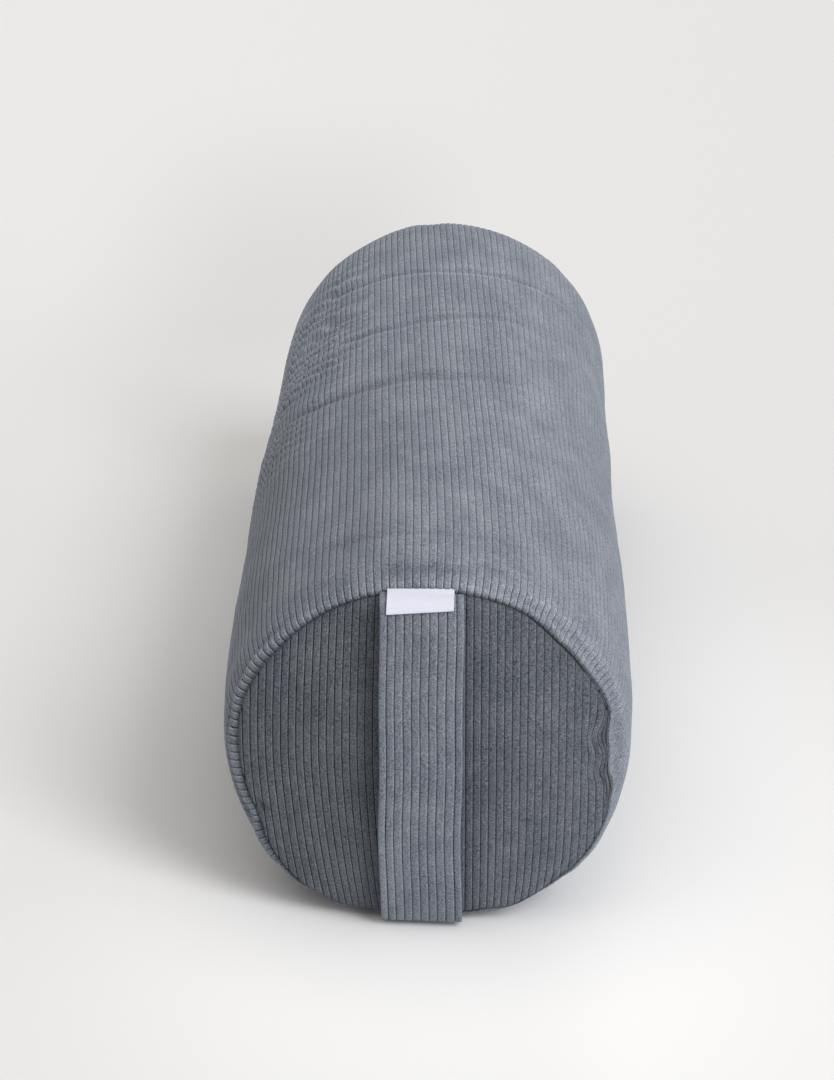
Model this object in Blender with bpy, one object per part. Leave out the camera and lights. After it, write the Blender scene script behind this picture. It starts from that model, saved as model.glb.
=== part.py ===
"""Round yoga bolster: a corduroy cover with a strap handle, a label and a zip, over a stuffed cotton bag.

The bolster lies along Y on its flattened underside, with the handle at the -Y end and +Z up.
The origin is on the floor, under the middle of the whole object. It runs in Blender 4.5.
"""

import math

import bmesh
import bpy
from mathutils import Matrix, Vector

# Stuffed body
BODY_WIDTH = 0.220
BODY_HEIGHT = 0.207
WIDEST_HEIGHT = 0.101
REST_WIDTH = 0.074
UNDERSIDE_POWER = 1.15
SEAM_TO_SEAM = 0.600
QUARTER_STEPS = 10

# End seams, where the tube rolls in to meet a domed end panel
SEAM_DRAW_IN = 0.008
SEAM_ROLL = 0.030
SEAM_ALLOWANCE = 0.010
ROLL_STEPS = 4
INNER_ROLL_STEPS = 2
END_CROWN = 0.014
CROWN_POWER = 0.75
PANEL_RINGS = (0.97, 0.90, 0.76, 0.56, 0.30)
LINING_RINGS = (0.90, 0.60)

# Cloth, and the clearance between pieces that touch
COVER_CLOTH = 0.0022
BAG_CLOTH = 0.0010
SEATING_GAP = 0.0003

# Inner bag, whose own end seams lie inside the cover's seam allowances
BAG_SEAM_DRAW_IN = 0.0040
BAG_ROLL = 0.040
BAG_ROLL_STEPS = 3

# Strap handle
STRAP_WIDTH = 0.044
STRAP_THICKNESS = 0.0040
STRAP_SEWN_THICKNESS = 0.0012
STRAP_TAPER = 0.010
STRAP_OFFSET = -0.0032
STRAP_GAP = 0.0075
STRAP_SEWN_LENGTH = 0.024
STRAP_FLOOR_GAP = 0.0006
STRAP_STEPS = 44

# Label, sewn into the top of the handle seam
LABEL_WIDTH = 0.0352
LABEL_THICKNESS = 0.0010
LABEL_LENGTH = 0.0128
LABEL_STEPS = 6

# Zip, along the middle of one facet of the lower flank
ZIP_FACET = 3
ZIP_FROM_HANDLE_SEAM = 0.204
ZIP_SETBACK = 0.005
SLOT_WIDTH = 0.0104
TAPE_WIDTH = 0.0110
TAPE_THICKNESS = 0.0006
TAPE_TAIL = 0.009
CHAIN_WIDTH = 0.0058
CHAIN_THICKNESS = 0.0022
SPINE_WIDTH = 0.0018
TOOTH_PITCH = 0.0030
TOOTH_LENGTH = 0.0012
TOOTH_REACH = 0.0006
STOP_LENGTH = 0.0030
STOP_WIDTH = 0.0016
DENT_RAMP = 0.010

# Slider and its pull tab
SLIDER_LENGTH = 0.0130
SLIDER_MOUTH_WIDTH = 0.0095
SLIDER_TAIL_WIDTH = 0.0084
SLIDER_CORNER = 0.0014
SLIDER_PLATE = 0.0010
SLIDER_FLANGE = 0.0009
TAPE_CLEARANCE = 0.0004
WEDGE_WIDTH = 0.0028
WEDGE_LENGTH = 0.0052
BAR_WIDTH = 0.0015
BAR_THICKNESS = 0.0011
POST_SPACING = 0.0072
POST_LENGTH = 0.0013
PULL_LENGTH = 0.0250
PULL_WIDTH = 0.0060
PULL_NECK_WIDTH = 0.0030
PULL_NECK_LENGTH = 0.0080
PULL_SHOULDER = 0.0025
PULL_THICKNESS = 0.0012
PULL_EYE = 0.0023
PULL_RIM = 0.00095
PULL_CLEARANCE = 0.0014
WINDOW_WIDTH = 0.0024
WINDOW_LENGTH = 0.0075

# Finishes: name, linear colour, roughness and metallic value
CORDUROY = ("corduroy", (0.175, 0.195, 0.225), 0.95, 0.0)
LABEL_TAPE = ("label_tape", (0.80, 0.80, 0.86), 0.85, 0.0)
ZIP_TAPE = ("zip_tape", (0.10, 0.11, 0.125), 0.90, 0.0)
ZIP_NYLON = ("zip_nylon", (0.075, 0.08, 0.09), 0.45, 0.0)
ZIP_METAL = ("zip_metal", (0.42, 0.43, 0.45), 0.35, 1.0)
COTTON = ("cotton", (0.72, 0.67, 0.57), 0.92, 0.0)
FIBRE = ("fibre", (0.78, 0.72, 0.60), 0.98, 0.0)

# Places of the seams and of the handle
STRAP_BOW = END_CROWN + STRAP_GAP + STRAP_THICKNESS / 2
HANDLE_REACH = STRAP_BOW + STRAP_THICKNESS / 2
HANDLE_SEAM_Y = -(SEAM_TO_SEAM + END_CROWN - HANDLE_REACH) / 2
PLAIN_SEAM_Y = HANDLE_SEAM_Y + SEAM_TO_SEAM
TOP_SEAM_Z = BODY_HEIGHT - SEAM_DRAW_IN
BOTTOM_SEAM_Z = SEAM_DRAW_IN

# Depths of the nested layers, below the outside of the cover
PANEL_INSET = SEAM_DRAW_IN + SEATING_GAP
LINING_INSET = PANEL_INSET + COVER_CLOTH
BAG_INSET = COVER_CLOTH + SEATING_GAP
BAG_SEAM_INSET = LINING_INSET + SEATING_GAP + BAG_SEAM_DRAW_IN
BAG_END_INSET = BAG_SEAM_INSET + SEATING_GAP
FILL_DEPTH = BAG_CLOTH + SEATING_GAP
BAG_SEAM_SETBACK = SEAM_ALLOWANCE + SEATING_GAP
ROLLED_LENGTH = BAG_SEAM_SETBACK + BAG_ROLL + FILL_DEPTH

# Depths of the zip's layers, below the outside of the cover
TAPE_TOP = COVER_CLOTH + SEATING_GAP
TAPE_BOTTOM = TAPE_TOP + TAPE_THICKNESS
CHAIN_MIDDLE = (TAPE_TOP + TAPE_BOTTOM) / 2
CHAIN_TOP = CHAIN_MIDDLE - CHAIN_THICKNESS / 2
CHAIN_BOTTOM = CHAIN_MIDDLE + CHAIN_THICKNESS / 2
CHANNEL_TOP = CHAIN_TOP - SEATING_GAP
CHANNEL_BOTTOM = CHAIN_BOTTOM + SEATING_GAP
SLIDER_TOP = CHANNEL_TOP - SLIDER_PLATE
SLIDER_BOTTOM = CHANNEL_BOTTOM + SLIDER_PLATE
ZIP_DENT = SLIDER_BOTTOM + 2 * SEATING_GAP - BAG_INSET

# Places along the zip, which runs on to the roll of the plain end
TAPE_EDGE = CHAIN_WIDTH / 2 + SEATING_GAP
TAPE_REACH = TAPE_EDGE + TAPE_WIDTH
ZIP_OPEN_Y = HANDLE_SEAM_Y + ZIP_FROM_HANDLE_SEAM
ZIP_CLOSED_Y = PLAIN_SEAM_Y - ROLLED_LENGTH - ZIP_SETBACK - DENT_RAMP - TAPE_TAIL
CHAIN_START_Y = ZIP_OPEN_Y + STOP_LENGTH + SEATING_GAP
CHAIN_END_Y = ZIP_CLOSED_Y - STOP_LENGTH - SEATING_GAP
SLIDER_Y = CHAIN_END_Y - SLIDER_LENGTH / 2
TEETH_END_Y = CHAIN_END_Y - WEDGE_LENGTH - SEATING_GAP

# Heights of the slider's bar and the eye that hangs on it, above the outside of the cover
EYE_OUTER = PULL_EYE / 2 + PULL_RIM
BAR_HEIGHT = PULL_CLEARANCE + EYE_OUTER - SLIDER_TOP


def clear_scene():
    """Removes whatever is in the scene, and the names it would hold."""
    for old in list(bpy.data.objects):
        bpy.data.objects.remove(old)
    for old in list(bpy.data.materials):
        bpy.data.materials.remove(old)


def material(finish):
    """The Principled material of one finish, made once."""
    name, colour, roughness, metallic = finish
    made = bpy.data.materials.get(name)
    if made is None:
        made = bpy.data.materials.new(name)
        made.use_nodes = True
        shader = made.node_tree.nodes["Principled BSDF"]
        shader.inputs["Base Color"].default_value = (*colour, 1.0)
        shader.inputs["Roughness"].default_value = roughness
        shader.inputs["Metallic"].default_value = metallic
    return made


def add_object(name, bm, finish, origin=(0.0, 0.0, 0.0)):
    """Turns a bmesh in world space into a named object, with its origin at the given point."""
    bmesh.ops.recalc_face_normals(bm, faces=bm.faces)
    if bm.calc_volume(signed=True) < 0.0:
        bmesh.ops.reverse_faces(bm, faces=bm.faces)
    bmesh.ops.translate(bm, vec=-Vector(origin), verts=bm.verts)
    mesh = bpy.data.meshes.new(name)
    bm.to_mesh(mesh)
    bm.free()
    mesh.shade_smooth()
    mesh.set_sharp_from_angle(angle=math.radians(35))
    made = bpy.data.objects.new(name, mesh)
    made.location = origin
    bpy.context.scene.collection.objects.link(made)
    made.data.materials.append(material(finish))
    return made


def boolean(target, name, bm, operation):
    """An exact Boolean of target with a helper shape that is no part of the object."""
    helper = add_object(name, bm, CORDUROY)
    helper.hide_render = True
    helper.display_type = "WIRE"
    modifier = target.modifiers.new(name, "BOOLEAN")
    modifier.operation = operation
    modifier.solver = "EXACT"
    modifier.object = helper


# Cross-sections of the stuffed body

def section(inset):
    """Points (x, z) round the body, at a depth of inset below its surface.

    They start at +X and run over the top to -X, then down to the floor and back up to +X.
    """
    half_width = BODY_WIDTH / 2 - inset
    rise = BODY_HEIGHT - WIDEST_HEIGHT - inset
    drop = WIDEST_HEIGHT - inset
    rest = REST_WIDTH / 2
    turns = [math.pi / 2 * step / QUARTER_STEPS for step in range(2 * QUARTER_STEPS)]
    upper = [(half_width * math.cos(t), WIDEST_HEIGHT + rise * math.sin(t)) for t in turns]
    lower = []
    for t in [*turns[:QUARTER_STEPS], math.pi / 2]:
        x = rest + (half_width - rest) * max(0.0, math.cos(t)) ** UNDERSIDE_POWER
        lower.append((x, WIDEST_HEIGHT - drop * math.sin(t)))
    return upper + [(-x, z) for x, z in lower] + lower[:0:-1]


def ring(inset, y, share=1.0):
    """One cross-section placed at y, drawn towards its middle by share."""
    return [
        Vector((x * share, y, WIDEST_HEIGHT + (z - WIDEST_HEIGHT) * share))
        for x, z in section(inset)
    ]


def join_rings(bm, first, second):
    """A band of triangles between two rings, split the same way in every layer, so that layers nest."""
    near, far = sorted((first, second), key=lambda loop: loop[0].co.y)
    for i in range(len(near)):
        j = (i + 1) % len(near)
        bm.faces.new((near[i], near[j], far[j]))
        bm.faces.new((near[i], far[j], far[i]))


def loft(bm, rings, closed=False):
    """Rings of vertices joined one to the next, and the last to the first where closed."""
    made = [[bm.verts.new(point) for point in points] for points in rings]
    for first, second in zip(made, made[1:]):
        join_rings(bm, first, second)
    if closed:
        join_rings(bm, made[-1], made[0])
    return made


def fan(bm, loop, y):
    """Closes a ring of vertices with triangles to a point on the body's middle line."""
    middle = bm.verts.new((0.0, y, WIDEST_HEIGHT))
    for i, vert in enumerate(loop):
        bm.faces.new((vert, loop[(i + 1) % len(loop)], middle))


def crown_at(share):
    """Height of a domed end as a share of its crown, at a share of the way out to its rim."""
    return (1.0 - share * share) ** CROWN_POWER


def roll(seam_inset, seam_y, inset, length, inwards, steps):
    """(inset, y) along the quarter ellipse from an end seam to the straight body."""
    points = []
    for step in range(steps + 1):
        t = math.pi / 2 * step / steps
        depth = inset + (seam_inset - inset) * (1.0 - math.sin(t))
        points.append((depth, seam_y + inwards * length * (1.0 - math.cos(t))))
    return points


# The corduroy cover

def turned_in(seam_y, inwards):
    """(inset, y) round the inside of a tube end, from its seam allowance to the straight lining."""
    allowance_y = seam_y + inwards * SEAM_ALLOWANCE
    under = SEAM_DRAW_IN - COVER_CLOTH
    start = seam_y + inwards * COVER_CLOTH
    edge = [(SEAM_DRAW_IN, allowance_y), (under, allowance_y)]
    length = SEAM_ROLL - COVER_CLOTH
    return edge + roll(under, start, COVER_CLOTH, length, inwards, INNER_ROLL_STEPS)


def build_cover_tube():
    """The tube, whose two ends roll in and turn their seam allowances inside."""
    outer = roll(SEAM_DRAW_IN, HANDLE_SEAM_Y, 0.0, SEAM_ROLL, 1, ROLL_STEPS)
    outer += reversed(roll(SEAM_DRAW_IN, PLAIN_SEAM_Y, 0.0, SEAM_ROLL, -1, ROLL_STEPS))
    inner = turned_in(PLAIN_SEAM_Y, -1)
    inner += reversed(turned_in(HANDLE_SEAM_Y, 1))
    bm = bmesh.new()
    loft(bm, [ring(inset, y) for inset, y in outer + inner], closed=True)
    tube = add_object("cover_tube", bm, CORDUROY)
    half = SLOT_WIDTH / 2
    slot = box((-half, ZIP_OPEN_Y, -2 * COVER_CLOTH), (half, ZIP_CLOSED_Y, COVER_CLOTH))
    boolean(tube, "zip_slot_cutter", on_flank(slot), "DIFFERENCE")


def build_end_panel(name, seam_y, outwards):
    """A round panel with a domed middle, whose skirt is its seam allowance."""
    skirt_y = seam_y - outwards * SEAM_ALLOWANCE
    face = [ring(LINING_INSET, skirt_y), ring(PANEL_INSET, skirt_y), ring(PANEL_INSET, seam_y)]
    for share in PANEL_RINGS:
        face.append(ring(PANEL_INSET, seam_y + outwards * END_CROWN * crown_at(share), share))
    lining = [ring(LINING_INSET, seam_y)]
    lining_crown = END_CROWN - COVER_CLOTH
    for share in LINING_RINGS:
        lining.append(ring(LINING_INSET, seam_y + outwards * lining_crown * crown_at(share), share))
    bm = bmesh.new()
    outside = loft(bm, face)
    inside = loft(bm, lining)
    fan(bm, outside[-1], seam_y + outwards * END_CROWN)
    fan(bm, inside[-1], seam_y + outwards * lining_crown)
    join_rings(bm, outside[0], inside[0])
    add_object(name, bm, CORDUROY)


# The stuffed inner bag

def bag_end_rings(seam_y, outwards, depth):
    """Rings of the bag's domed end from its rim inwards, and y of its crown, at a depth inside the bag."""
    inset = BAG_END_INSET + depth
    rim_y = seam_y - outwards * (BAG_SEAM_SETBACK + depth)
    crown_y = seam_y + outwards * (END_CROWN - COVER_CLOTH - SEATING_GAP - depth)
    rings = [ring(inset, rim_y)]
    for share in LINING_RINGS:
        rings.append(ring(inset, rim_y + (crown_y - rim_y) * crown_at(share), share))
    return rings, crown_y


def dent_places():
    """Places along Y where the dent under the zip starts, is full, starts to end and has ended."""
    low = ZIP_OPEN_Y - TAPE_TAIL
    high = ZIP_CLOSED_Y + TAPE_TAIL
    return low - DENT_RAMP, low, high, high + DENT_RAMP


def pressed_ring(inset, y):
    """A cross-section of the bag or its fill, pressed in where the zip runs over it."""
    start, low, high, end = dent_places()
    share = min(1.0, max(0.0, (y - start) / (low - start)), max(0.0, (end - y) / (end - high)))
    points = ring(inset, y)
    pressed = ring(inset + ZIP_DENT * share, y)
    first = 2 * QUARTER_STEPS + ZIP_FACET
    beyond = math.ceil((TAPE_REACH + SEATING_GAP) / zip_facet_width() - 0.5)
    for i in range(first - beyond, first + 2 + beyond):
        points[i] = pressed[i]
    return points


def bag_rings(seam_inset, depth):
    """Rings along the bag's side, from the handle end to the plain end, at a depth inside the bag."""
    inset = BAG_INSET + depth
    setback = BAG_SEAM_SETBACK + depth
    rolls = [
        roll(seam_inset + depth, seam_y + inwards * setback, inset, BAG_ROLL, inwards, BAG_ROLL_STEPS)[:-1]
        for seam_y, inwards in ((HANDLE_SEAM_Y, 1), (PLAIN_SEAM_Y, -1))
    ]
    middle = [HANDLE_SEAM_Y + ROLLED_LENGTH, *dent_places(), PLAIN_SEAM_Y - ROLLED_LENGTH]
    places = rolls[0] + [(inset, y) for y in middle] + rolls[1][::-1]
    return [pressed_ring(*place) for place in places]


def build_bag_tube():
    """The cotton tube, pressed in along the zip so that the slider has room to run."""
    bm = bmesh.new()
    outside = bag_rings(BAG_SEAM_INSET, 0.0)
    inside = bag_rings(BAG_SEAM_INSET, BAG_CLOTH)
    loft(bm, outside + inside[::-1], closed=True)
    add_object("inner_bag_tube", bm, COTTON)


def build_bag_end(name, seam_y, outwards):
    """A round cotton end, sewn to the cotton tube and pushed out under the cover's panel."""
    bm = bmesh.new()
    rims = []
    for depth in (0.0, BAG_CLOTH):
        rings, crown_y = bag_end_rings(seam_y, outwards, depth)
        made = loft(bm, rings)
        fan(bm, made[-1], crown_y)
        rims.append(made[0])
    join_rings(bm, rims[0], rims[1])
    add_object(name, bm, COTTON)


def build_fill():
    """The fibre that fills the bag."""
    handle_rings, handle_crown = bag_end_rings(HANDLE_SEAM_Y, -1, FILL_DEPTH)
    plain_rings, plain_crown = bag_end_rings(PLAIN_SEAM_Y, 1, FILL_DEPTH)
    body = bag_rings(BAG_END_INSET, FILL_DEPTH)
    bm = bmesh.new()
    made = loft(bm, handle_rings[:0:-1] + body + plain_rings[1:])
    fan(bm, made[0], handle_crown)
    fan(bm, made[-1], plain_crown)
    add_object("fibre_fill", bm, FIBRE)


# Lines in the plane of Y and Z, for the strap and the label

def spline(controls, steps):
    """A Catmull-Rom curve through the control points."""
    ends = [2 * controls[0] - controls[1], *controls, 2 * controls[-1] - controls[-2]]
    points = []
    for a, b, c, d in zip(ends, ends[1:], ends[2:], ends[3:]):
        for t in [k / steps for k in range(steps)]:
            straight = 2 * b + (c - a) * t
            square = (2 * a - 5 * b + 4 * c - d) * t**2
            cube = (3 * b - a - 3 * c + d) * t**3
            points.append(0.5 * (straight + square + cube))
    return [*points, controls[-1]]


def distances(points):
    """Distance along a line to each of its points."""
    total = [0.0]
    for a, b in zip(points, points[1:]):
        total.append(total[-1] + (b - a).length)
    return total


def point_at(points, distance):
    """The point at a distance along a line."""
    total = distances(points)
    for a, b, start, end in zip(points, points[1:], total, total[1:]):
        if distance <= end:
            return a.lerp(b, (distance - start) / (end - start))
    return points[-1]


def stretch(points, start, end, steps):
    """Equal steps along a line between two distances."""
    return [point_at(points, start + (end - start) * k / steps) for k in range(steps + 1)]


def directions(points):
    """Direction of a line at each of its points."""
    before = [points[0], *points[:-1]]
    after = [*points[1:], points[-1]]
    return [(b - a).normalized() for a, b in zip(before, after)]


def band(points, thicknesses, width):
    """A flat band of cloth with a middle line, a thickness at each point and a width along X."""
    low, high = STRAP_OFFSET - width / 2, STRAP_OFFSET + width / 2
    rings = []
    for point, along, thickness in zip(points, directions(points), thicknesses):
        across = Vector((-along.y, along.x)) * thickness / 2
        front, back = point + across, point - across
        corners = ((low, front), (high, front), (high, back), (low, back))
        rings.append([Vector((x, corner.x, corner.y)) for x, corner in corners])
    bm = bmesh.new()
    made = loft(bm, rings)
    bm.faces.new(made[0])
    bm.faces.new(made[-1])
    return bm


# The strap handle and the label

def strap_line():
    """Middle line of the strap: out of the top seam, bowed over the panel, and under to the bottom seam."""
    middle = (TOP_SEAM_Z + BOTTOM_SEAM_Z) / 2
    half = (TOP_SEAM_Z - BOTTOM_SEAM_Z) / 2
    floor = STRAP_FLOOR_GAP + STRAP_THICKNESS / 2
    outline = (
        (0.00, middle + half),
        (0.40, middle + 0.96 * half),
        (0.70, middle + 0.78 * half),
        (0.92, middle + 0.40 * half),
        (1.00, middle),
        (0.93, middle - 0.42 * half),
        (0.68, middle - 0.80 * half),
        (0.34, floor + 0.04 * half),
        (0.12, floor),
        (0.00, middle - half),
    )
    sewn_y = HANDLE_SEAM_Y - 2 * SEATING_GAP
    reach = STRAP_BOW - 2 * SEATING_GAP
    controls = [Vector((sewn_y - out * reach, z)) for out, z in outline]
    line = spline(controls, STRAP_STEPS // 4)
    return [Vector((point.x, max(point.y, min(floor, controls[-1].y)))) for point in line]


def strap_thickness(distance, length):
    """Thickness of the strap, which is pressed thin where it is sewn in."""
    from_end = max(0.0, min(distance, length - distance))
    share = min(1.0, from_end / STRAP_TAPER)
    return STRAP_SEWN_THICKNESS + (STRAP_THICKNESS - STRAP_SEWN_THICKNESS) * share


def build_handle():
    """The strap in three lengths: two sewn ends, which stay put, and the grip that a hand pulls out."""
    line = strap_line()
    length = distances(line)[-1]
    cut = SEATING_GAP / 2
    sewn = STRAP_SEWN_LENGTH
    for name, start, end in (
        ("handle_top_end", 0.0, sewn - cut),
        ("handle_grip", sewn + cut, length - sewn - cut),
        ("handle_bottom_end", length - sewn + cut, length),
    ):
        steps = max(2, round(STRAP_STEPS * (end - start) / length))
        points = stretch(line, start, end, steps)
        places = [start + (end - start) * k / steps for k in range(steps + 1)]
        thicknesses = [strap_thickness(place, length) for place in places]
        middle = point_at(line, (start + end) / 2)
        origin = (STRAP_OFFSET, middle.x, middle.y)
        add_object(name, band(points, thicknesses, STRAP_WIDTH), CORDUROY, origin)


def build_label():
    """The folded label, which lies on the strap and is hinged by its cloth at the seam."""
    line = strap_line()
    length = distances(line)[-1]
    under = stretch(line, 0.0, LABEL_LENGTH, LABEL_STEPS)
    points = []
    for k, (point, along) in enumerate(zip(under, directions(under))):
        strap = strap_thickness(LABEL_LENGTH * k / LABEL_STEPS, length)
        outwards = Vector((along.y, -along.x))
        points.append(point + outwards * (strap / 2 + SEATING_GAP + LABEL_THICKNESS / 2))
    origin = (STRAP_OFFSET, points[0].x, points[0].y)
    bm = band(points, [LABEL_THICKNESS] * len(points), LABEL_WIDTH)
    add_object("seam_label", bm, LABEL_TAPE, origin)


# The zip's own frame: x up the flank, y along the bolster and z out of the cloth

def zip_facet():
    """The upper and lower corner of the facet that the zip runs along."""
    points = section(0.0)
    first = 2 * QUARTER_STEPS + ZIP_FACET
    upper, lower = points[first], points[first + 1]
    return Vector((upper[0], 0.0, upper[1])), Vector((lower[0], 0.0, lower[1]))


def zip_facet_width():
    """Width of the facet that the zip runs along."""
    upper, lower = zip_facet()
    return (upper - lower).length


def zip_frame():
    """The matrix that places the zip's frame on its facet."""
    upper, lower = zip_facet()
    up = (upper - lower).normalized()
    along = Vector((0.0, 1.0, 0.0))
    frame = Matrix((up, along, up.cross(along))).transposed().to_4x4()
    frame.translation = (upper + lower) / 2
    return frame


def on_flank(bm):
    """Moves a bmesh from the zip's frame to the bolster."""
    bm.transform(zip_frame())
    return bm


def box(low, high):
    """A box between two corners."""
    low, high = Vector(low), Vector(high)
    bm = bmesh.new()
    bmesh.ops.create_cube(bm, size=1.0)
    bmesh.ops.scale(bm, vec=high - low, verts=bm.verts)
    bmesh.ops.translate(bm, vec=(low + high) / 2, verts=bm.verts)
    return bm


def plate(corners, thickness):
    """A flat outline of corner points, extruded by the vector thickness."""
    bm = bmesh.new()
    face = bm.faces.new([bm.verts.new(corner) for corner in corners])
    raised = bmesh.ops.extrude_face_region(bm, geom=[face])["geom"]
    moved = [item for item in raised if isinstance(item, bmesh.types.BMVert)]
    bmesh.ops.translate(bm, vec=thickness, verts=moved)
    return bm


def layer(outline, top, bottom):
    """An outline of (x, y) points on the flank, between two depths below the cloth."""
    return on_flank(plate([(x, y, -bottom) for x, y in outline], (0.0, 0.0, bottom - top)))


def arc(middle, radius, start, end, steps):
    """Points of an arc between two angles in degrees."""
    turns = [math.radians(start + (end - start) * k / steps) for k in range(steps + 1)]
    return [(middle[0] + radius * math.cos(t), middle[1] + radius * math.sin(t)) for t in turns]


# The zip

def flank_line(depth):
    """Points (x, z) in the zip's frame, from the body's top down to the floor, at a depth below the cloth."""
    to_zip = zip_frame().inverted()
    points = section(depth)[QUARTER_STEPS : 3 * QUARTER_STEPS + 1]
    return [to_zip @ Vector((x, 0.0, z)) for x, z in points]


def on_line(line, reach):
    """The point of a flank line that lies a reach up from the zip's middle."""
    for a, b in zip(line, line[1:]):
        if a.x >= reach > b.x:
            return a.lerp(b, (a.x - reach) / (a.x - b.x))
    return line[-1]


def build_tape(name, side):
    """One woven tape, which follows the cloth's facets from the chain out to its edge."""
    top, bottom = flank_line(TAPE_TOP), flank_line(TAPE_BOTTOM)
    folds = sorted(side * point.x for point in top if TAPE_EDGE < side * point.x < TAPE_REACH)
    low_y, high_y = ZIP_OPEN_Y - TAPE_TAIL, ZIP_CLOSED_Y + TAPE_TAIL
    rings = []
    for reach in (TAPE_EDGE, *folds, TAPE_REACH):
        over, under = on_line(top, side * reach), on_line(bottom, side * reach)
        corners = ((over, low_y), (over, high_y), (under, high_y), (under, low_y))
        rings.append([Vector((point.x, y, point.z)) for point, y in corners])
    bm = bmesh.new()
    made = loft(bm, rings)
    bm.faces.new(made[0])
    bm.faces.new(made[-1])
    add_object(name, on_flank(bm), ZIP_TAPE)


def build_chain(name, side):
    """One half of the chain: a spine with teeth that mesh with the other half's, up to the wedge."""
    edge = CHAIN_WIDTH / 2
    root = edge - SPINE_WIDTH
    beside_wedge = WEDGE_WIDTH / 2 + SEATING_GAP
    first = CHAIN_START_Y + TOOTH_PITCH / 2 * (1.5 + side / 2)
    count = math.floor((TEETH_END_Y - TOOTH_LENGTH / 2 - first) / TOOTH_PITCH) + 1
    outline = [(edge, CHAIN_START_Y), (root, CHAIN_START_Y)]
    for k in range(count):
        y = first + k * TOOTH_PITCH
        outline += [
            (root, y - TOOTH_LENGTH / 2),
            (-TOOTH_REACH, y - 0.4 * TOOTH_LENGTH),
            (-TOOTH_REACH, y + 0.4 * TOOTH_LENGTH),
            (root, y + TOOTH_LENGTH / 2),
        ]
    outline += [(root, TEETH_END_Y), (beside_wedge, TEETH_END_Y)]
    outline += [(beside_wedge, CHAIN_END_Y), (edge, CHAIN_END_Y)]
    outline = [(side * x, y) for x, y in outline]
    add_object(name, layer(outline, CHAIN_TOP, CHAIN_BOTTOM), ZIP_NYLON)


def build_stops():
    """Two top stops, one on each half of the chain, and the bottom stop across both."""
    edge = CHAIN_WIDTH / 2
    top_y, bottom_y = ZIP_CLOSED_Y - STOP_LENGTH, ZIP_OPEN_Y
    for name, low, high, start in (
        ("zip_top_stop_upper", edge - STOP_WIDTH, edge, top_y),
        ("zip_top_stop_lower", -edge, STOP_WIDTH - edge, top_y),
        ("zip_bottom_stop", -edge, edge, bottom_y),
    ):
        stop = box((low, start, -CHAIN_BOTTOM), (high, start + STOP_LENGTH, -CHAIN_TOP))
        middle = ((low + high) / 2, start + STOP_LENGTH / 2, -CHAIN_MIDDLE)
        add_object(name, on_flank(stop), ZIP_METAL, zip_frame() @ Vector(middle))


def slider_outline(inwards, beyond):
    """The slider's plan, wide at the mouth, drawn in at the sides and run on at the ends."""
    tail = SLIDER_TAIL_WIDTH / 2 - inwards
    mouth = SLIDER_MOUTH_WIDTH / 2 - inwards
    end = SLIDER_LENGTH / 2 + beyond
    half = [
        (tail - SLIDER_CORNER, -end),
        (tail, SLIDER_CORNER - end),
        (tail, -SLIDER_LENGTH / 12),
        (mouth, SLIDER_LENGTH / 6),
        (mouth, end - SLIDER_CORNER),
        (mouth - SLIDER_CORNER, end),
    ]
    return [(x, y + SLIDER_Y) for x, y in half + [(-x, y) for x, y in reversed(half)]]


def slider_bridge():
    """The bar that the pull hangs on, and its two posts, seen from the side and extruded across."""
    foot = -(SLIDER_TOP + SLIDER_PLATE / 2)
    low, high = BAR_HEIGHT - BAR_THICKNESS / 2, BAR_HEIGHT + BAR_THICKNESS / 2
    inner, outer = (POST_SPACING - POST_LENGTH) / 2, (POST_SPACING + POST_LENGTH) / 2
    half = [(inner, low), (inner, foot), (outer, foot), (outer, low), (inner, high)]
    arch = half + [(-y, z) for y, z in reversed(half)]
    corners = [(-BAR_WIDTH / 2, SLIDER_Y + y, z) for y, z in arch]
    return on_flank(plate(corners, (BAR_WIDTH, 0.0, 0.0)))


def build_slider():
    """The slider: two flanged plates round the chain, held apart by a wedge, with a bridge for the pull."""
    body = layer(slider_outline(0.0, 0.0), SLIDER_TOP, SLIDER_BOTTOM)
    middle = zip_frame() @ Vector((0.0, SLIDER_Y, 0.0))
    slider = add_object("zip_slider", body, ZIP_METAL, middle)
    channel = layer(slider_outline(SLIDER_FLANGE, SLIDER_LENGTH), CHANNEL_TOP, CHANNEL_BOTTOM)
    boolean(slider, "slider_channel_cutter", channel, "DIFFERENCE")
    reach = (SLIDER_MOUTH_WIDTH, SLIDER_LENGTH)
    mouth = box(
        (-reach[0], SLIDER_Y - reach[1], -(TAPE_BOTTOM + TAPE_CLEARANCE)),
        (reach[0], SLIDER_Y + reach[1], -(TAPE_TOP - TAPE_CLEARANCE)),
    )
    boolean(slider, "slider_tape_cutter", on_flank(mouth), "DIFFERENCE")
    side = WEDGE_WIDTH / 2
    shoulder = CHAIN_END_Y - WEDGE_LENGTH / 2
    outline = [(-side, CHAIN_END_Y), (-side, shoulder), (0.0, CHAIN_END_Y - WEDGE_LENGTH)]
    outline += [(side, shoulder), (side, CHAIN_END_Y)]
    bite = SLIDER_PLATE / 2
    wedge = layer(outline, SLIDER_TOP + bite, SLIDER_BOTTOM - bite)
    boolean(slider, "slider_wedge", wedge, "UNION")
    boolean(slider, "slider_bridge", slider_bridge(), "UNION")


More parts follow.
